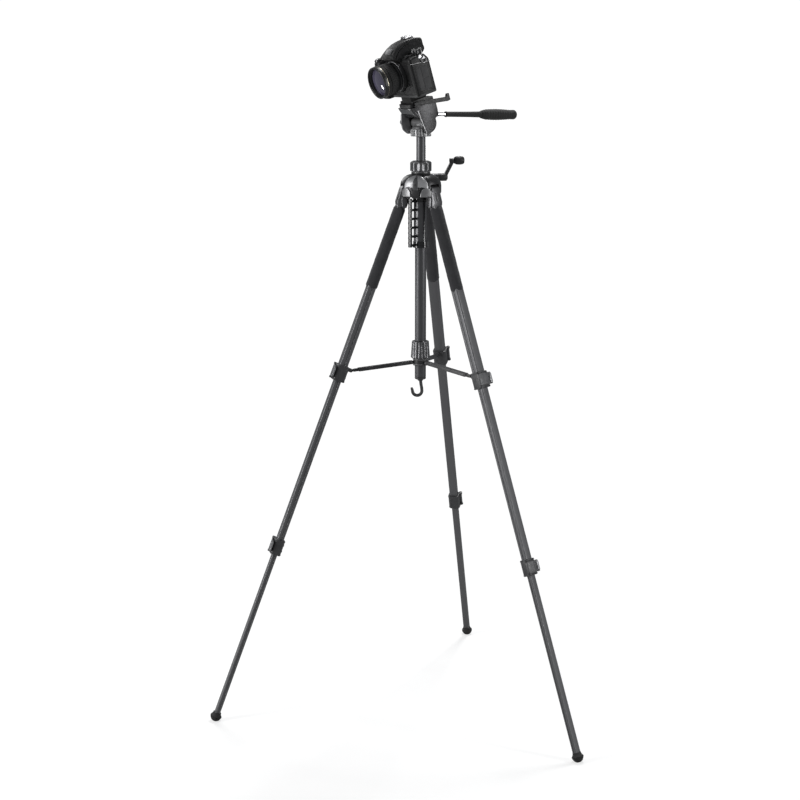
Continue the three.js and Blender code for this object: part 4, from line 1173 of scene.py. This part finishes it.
def camera_front_and_sides():
    metal = Build().lathe([
        (26, 31), (31.6, 31), (32.4, 31.6), (32.6, 33.3), (31.6, 33.7), (26, 33.7),
    ], LENS, 96, wrap=True)
    for k in range(4):
        spot = LENS @ spun(90 * (k + 0.5), "Z") @ moved(34.5, 0, 30.6)
        metal.screw(1.2, 0.5, spot)
    metal.on_camera("lens_mount_ring", "bright", "silver_button")
    lug = Build()
    for y, turn in ((LEFT, 1), (RIGHT, -1)):
        near, far = sorted((y - turn * 4, y + turn * 3.4))
        lug.box((-11.6, near, 139.5), (-4.4, far, 144.5), 1.2)
        lug.lathe(crowned(-1.2, 1.2, 4.4, 0.5), moved(-2, y - turn * 0.6, 146.5) @ ALONG_Y, 32)
        turns = [TAU * k / 40 for k in range(40)]
        ring = [
            (-8 + 5.6 * cos(t), y + turn * (3.2 + 1.0 * sin(t)), 137.6 + 5.4 * sin(t)) for t in turns
        ]
        lug.tube(ring, 0.75, 12, closed=True)
    lug.on_camera("strap_lugs", "silver", "silver_button")
    lamp = Build().lathe([
        (0, 24), (3.4, 24), (3.5, 26.6), (3.0, 27.2), (1.2, 27.4), (0, 27.4),
    ], moved(0, -30.5, 143) @ ALONG_X, 40)
    lamp.lathe([(0, 42), (4.2, 42), (4.3, 46.4), (3.7, 47), (0, 47.1)], moved(0, -52, 128) @ ALONG_X, 40)
    lamp.on_camera("front_lamp_and_sensor", "screen", "lens_black")
    release = Build().lathe([
        (0, 23.2), (4.8, 23.2), (4.9, 27.6), (4.3, 28.3), (3.4, 28.1), (0, 27.7),
    ], RELEASE, 48)
    release.object(
        "lens_release_turned", "gloss", "lens_button", "camera_shell", TILT, ["lens_release_button"],
    )
    ring = Build().lathe([
        (5.5, 24), (5.5, 27.4), (6.6, 27.4), (7.2, 26.8), (7.3, 24),
    ], RELEASE, 48, wrap=True)
    ring.on_camera("lens_release_rim", "shell")

    door = Build()
    panel = filleted([(-14.3, 76.8, 4), (16.8, 76.8, 4), (16.8, 127.2, 4), (-14.3, 127.2, 4)], 3, 6)
    door.side(panel, LEFT - 1.9, LEFT + 0.5, 0.8)
    for panel in (
        [(-12.6, 102.6, 3), (3.6, 100.6, 2), (3.6, 125, 3), (-12.6, 125, 4)],
        [(-12.6, 78.8, 4), (3.6, 78.8, 2), (3.6, 99.6, 2), (-12.6, 101.6, 2)],
        [(4.8, 78.8, 2), (15.2, 78.8, 4), (15.2, 125, 4), (4.8, 125, 2)],
    ):
        door.side(filleted(panel, 3, 6), LEFT - 0.6, LEFT + 1.1, 0.7)
    door.object("terminal_doors", "door", "side_door", "door_rubber", TILT, ["terminal_cover"])
    frame_lines = Build().side(filleted([
        (-17, 73.5, 5), (19.5, 73.5, 5), (19.5, 131, 5), (-17, 131, 5),
    ], 3, 6), LEFT - 3, LEFT - 2.35, 0.3)
    frame_lines.on_camera("terminal_recess", "gloss")
    refine("battery_door", "shell", 0.5)
    foot = Build().lathe([(0, 64.6), (8.2, 64.6), (8.6, 65.2), (8.6, 66), (0, 66)], sides=48)
    foot.on_camera("tripod_socket_plate", "silver", "silver_button")


def camera_controls():
    dial = Build()

    def knurl(angle, height):
        return 0.45 * (1 - abs(cos(20 * angle))) if 152 < height < 160.6 else 0
    dial.lathe([
        (4.4, 151.5), (12, 151.5), (12.5, 152.1), (12.5, 160.5), (12, 161.2), (11.2, 161.4), (0, 161.4),
        (0, 153.6), (4.4, 153.6),
    ], DIAL, 160, wave=knurl)
    dial.object("mode_dial_knurled", "gloss", "dial", "camera_shell", TILT, ["mode_dial"])
    marks = Build()
    for k in range(12):
        spot = DIAL @ moved(0, 0, 161.35) @ spun(30 * k, "Z")
        half = 1.0 if k % 3 == 0 else 0.5
        marks.box((8.0, -half, 0), (10.6, half, 0.22), 0.08, spot)
    marks.object("mode_dial_marks", "white", "dial", "silver_button", TILT)
    button = Build().lathe([
        (0, 146.2), (4.9, 146.2), (4.95, 152.2), (4.5, 153.2), (3.2, 153.3), (1.6, 153.0), (0, 152.9),
    ], SHUTTER, 48)
    button.object("shutter_button_dished", "silver", "shutter", "silver_button", TILT, ["shutter_button"])
    seat = Build().lathe([
        (5.6, 148), (5.6, 152), (6.6, 152.4), (8.4, 151.6), (9.4, 149.8), (9.4, 148),
    ], SHUTTER, 56, wrap=True)
    wheel = moved(24, -39, 149.2) @ ALONG_Y
    seat.lathe(crowned(-3.4, 3.4, 5.2, 0.6), wheel, 120, wave=lambda a, h: 0.35 * (1 - abs(cos(12 * a))))
    for y in (-38, -47, -56):
        seat.lathe([(0, 151), (3.1, 151), (3.2, 154.3), (2.8, 154.8), (0, 154.9)], moved(6, y, 0), 32)
    seat.lathe([
        (0, 151), (5.2, 151), (5.6, 153.4), (4.8, 154.6), (3.4, 155.2), (0, 155.3),
    ], moved(18, 43, 0), 48)
    seat.on_camera("top_controls", "gloss")
    flash = Build()
    rings = []
    for x, _, high in HUMP:
        bottom = between(FLASH_LINE, x) + 0.35
        if x > -5.9 and high - bottom > 1.2:
            rings.append(hump_ring(x, bottom, high))
    first = rings[0]
    middle = sum((Vector(p) for p in first), Vector()) / len(first)
    end = [tuple(middle + (Vector(p) - middle) * 0.97) for p in first]
    flash.loft([end, [(x + 0.35, y, z) for x, y, z in first]] + rings[1:])
    flash.object("pop_up_flash_shell", "shell", "flash", "camera_shell", TILT, ["pop_up_flash"])
    patch = Build().front(
        rectangle(24, 14, 5.5, 8, 0, 0), -1.4, 0.9, 0.8, moved(32.0, 0, 167.3) @ spun(-50, "Y"),
    )
    patch.object("flash_front_patch", "lever", "flash", "camera_shell", TILT)


def lens():
    barrel = Build().lathe([
        (24, 34.2), (31.4, 34.2), (32.2, 34.9), (32.4, 37), (31.2, 39), (31.3, 41.5), (32.4, 43),
        (32.5, 44.3), (27.6, 44.5), (24, 44.5),
    ], LENS, 112, wrap=True)
    barrel.lathe([(24, 44), (27.5, 44), (27.5, 70), (24, 70)], LENS, 96, wrap=True)
    front_rim = [
        (26, 69.7), (33.4, 69.7), (34.1, 70.4), (34.5, 72), (34.5, 79.4), (34.2, 80.4), (33.5, 80.9),
        (31.8, 80.9), (31.2, 80.5),
    ]
    for k in range(4):
        z = 80.0 - k * 0.7
        front_rim += [(31.2, z), (30.7, z - 0.35)]
    front_rim += [(30.4, 76.9), (29.2, 75.6), (28.9, 74.6), (28.9, 70.2), (26, 70.2)]
    barrel.lathe(front_rim, LENS, 128, wrap=True)
    barrel.lathe([(0, 69.9), (29.2, 69.9), (29.2, 70.8), (0, 70.8)], LENS, 64)
    barrel.object("lens_barrel_turned", "lens", "camera", "lens_black", TILT, ["lens_barrel"])
    trim = Build().lathe([(33.9, 71.6), (34.72, 71.8), (34.72, 72.5), (33.9, 72.8)], LENS, 128, wrap=True)
    trim.on_camera("lens_trim_rings", "gold", "silver_button")
    mark = Build().lathe(
        [(0, 0), (1.1, 0), (1.1, 0.5), (0, 0.7)],
        LENS @ spun(180, "Z") @ moved(32.1, 0, 38) @ spun(90, "Y"), 24,
    )
    mark.on_camera("lens_mount_mark", "white", "silver_button")
    glass = Build()
    dome = [(0, 71), (28.6, 71), (28.6, 71.8)]
    spread = 0.62  # the dome's half angle, in radians
    for k in range(24):
        t = spread * (1 - k / 24)
        rise = (cos(t) - cos(spread)) / (1 - cos(spread))
        dome.append((28.4 * sin(t) / sin(spread), 71.9 + 5.0 * rise))
    dome.append((0, 76.9))
    glass.lathe(dome, LENS, 96)
    glass.object("front_element_dome", "glass", "camera", "lens_glass", TILT, ["front_glass"])

    def rib_ring(name, body, node, radius, low, high, ribs, depth):
        grooves = flutes(low, high, 0.8, 0.8, lambda angle: depth if cos(ribs * angle) < -0.35 else 0)
        work = Build().lathe(knob_profile(28.1, radius, low, high, 0.5), LENS, ribs * 8, grooves, True)
        work.object(name, "rubber", body, "rubber_black", TILT, [node])
    rib_ring("zoom_ring_ribbed", "zoom", "zoom_ring", 33.4, 45.1, 61.4, 48, 0.9)
    rib_ring("focus_ring_ribbed", "focus", "focus_ring", 33.0, 62.4, 69.0, 72, 0.6)


camera_body()
camera_back()
camera_front_and_sides()
camera_controls()
lens()

# ------------------------------------------------------------------ stage, camera and light


WORLD_LIGHT = 0.2
FLOOR_TONE = 0.4
FLOOR_GLOW = 0.66


def floor_material():
    """Matte white that glows for the camera's rays alone and fades out away from the part."""
    s = Surface("floor_white")
    tone = s.ramp(s.noise(3, 2, 0.5), (0.3, (FLOOR_TONE - 0.01,) * 3), (0.7, (FLOOR_TONE,) * 3))
    away = s.add("VectorMath", {0: s.place}, "Value", operation="LENGTH")
    seen = s.add("LightPath", {}, "Is Camera Ray")
    return s.set(
        color=tone, rough=0.9, specular=0.0, alpha=s.span(away, 1.1, 2.6, 1.0, 0.0),
        glow_color=(1, 1, 1), glow=s.span(seen, 0, 1, 0, FLOOR_GLOW),
    )


def stage():
    floor_mesh = bpy.data.meshes.new("floor")
    work = bmesh.new()
    bmesh.ops.create_grid(work, x_segments=1, y_segments=1, size=40)
    work.to_mesh(floor_mesh)
    work.free()
    floor_mesh.materials.append(floor_material())
    floor = add_object("floor", floor_mesh)
    floor.location = (0, 0, -0.0002)

    world = bpy.data.worlds.new("studio")
    bpy.context.scene.world = world
    world.use_nodes = True
    world.node_tree.nodes.clear()
    nodes = Nodes(world.node_tree)
    seen = nodes.add("LightPath", {}, "Is Camera Ray")
    lit = nodes.add("Background", {"Color": (0.94, 0.97, 1), "Strength": WORLD_LIGHT}, "Background")
    white = nodes.add("Background", {"Color": (1, 1, 1), "Strength": 1.05}, "Background")
    chosen = nodes.add("MixShader", {"Fac": seen, 1: lit, 2: white}, "Shader")
    nodes.add("OutputWorld", {"Surface": chosen}, None)


def area_light(name, place, target, size, power):
    data = bpy.data.lights.new(name, "AREA")
    data.shape = "RECTANGLE"
    data.size, data.size_y = size
    data.energy = power
    light = add_object(name, data)
    light.location = place
    light.visible_camera = False
    light.rotation_mode = "QUATERNION"
    light.rotation_quaternion = (Vector(target) - Vector(place)).to_track_quat("-Z", "Y")


CAMERA_OFFSET = Vector((0, -3.58433, 1.44672))  # from the column's axis at the floor
CAMERA_PITCH, CAMERA_YAW = radians(11.525), radians(0.727)
CAMERA_LENS = 73.32  # for a 36 mm sensor


def photographer():
    data = bpy.data.cameras.new("camera")
    data.lens = CAMERA_LENS
    data.sensor_width = 36
    data.clip_start, data.clip_end = 0.05, 200
    camera = add_object("camera", data)
    camera.location = FOOT + CAMERA_OFFSET
    camera.rotation_euler = (pi / 2 - CAMERA_PITCH, 0, CAMERA_YAW)
    bpy.context.scene.camera = camera


stage()
photographer()
area_light("overhead", (0.6, 1.3, 4.2), (0, 0, 0), (0.7, 0.7), 85)
area_light("left strip", (-2.5, -1.15, 1.35), (0, 0, 1.0), (0.7, 2.6), 50)
area_light("right strip", (2.7, -1.3, 1.6), (0, 0, 0.9), (0.35, 2.2), 32)
area_light("back", (-1.6, 2.8, 2.4), (0, 0, 1.0), (1.4, 1.6), 18)
area_light("lens glint", (-1.66, 0.53, 0.46), (-0.03, -0.12, 1.43), (0.16, 0.26), 2.5)
bpy.context.scene.view_settings.view_transform = "Standard"
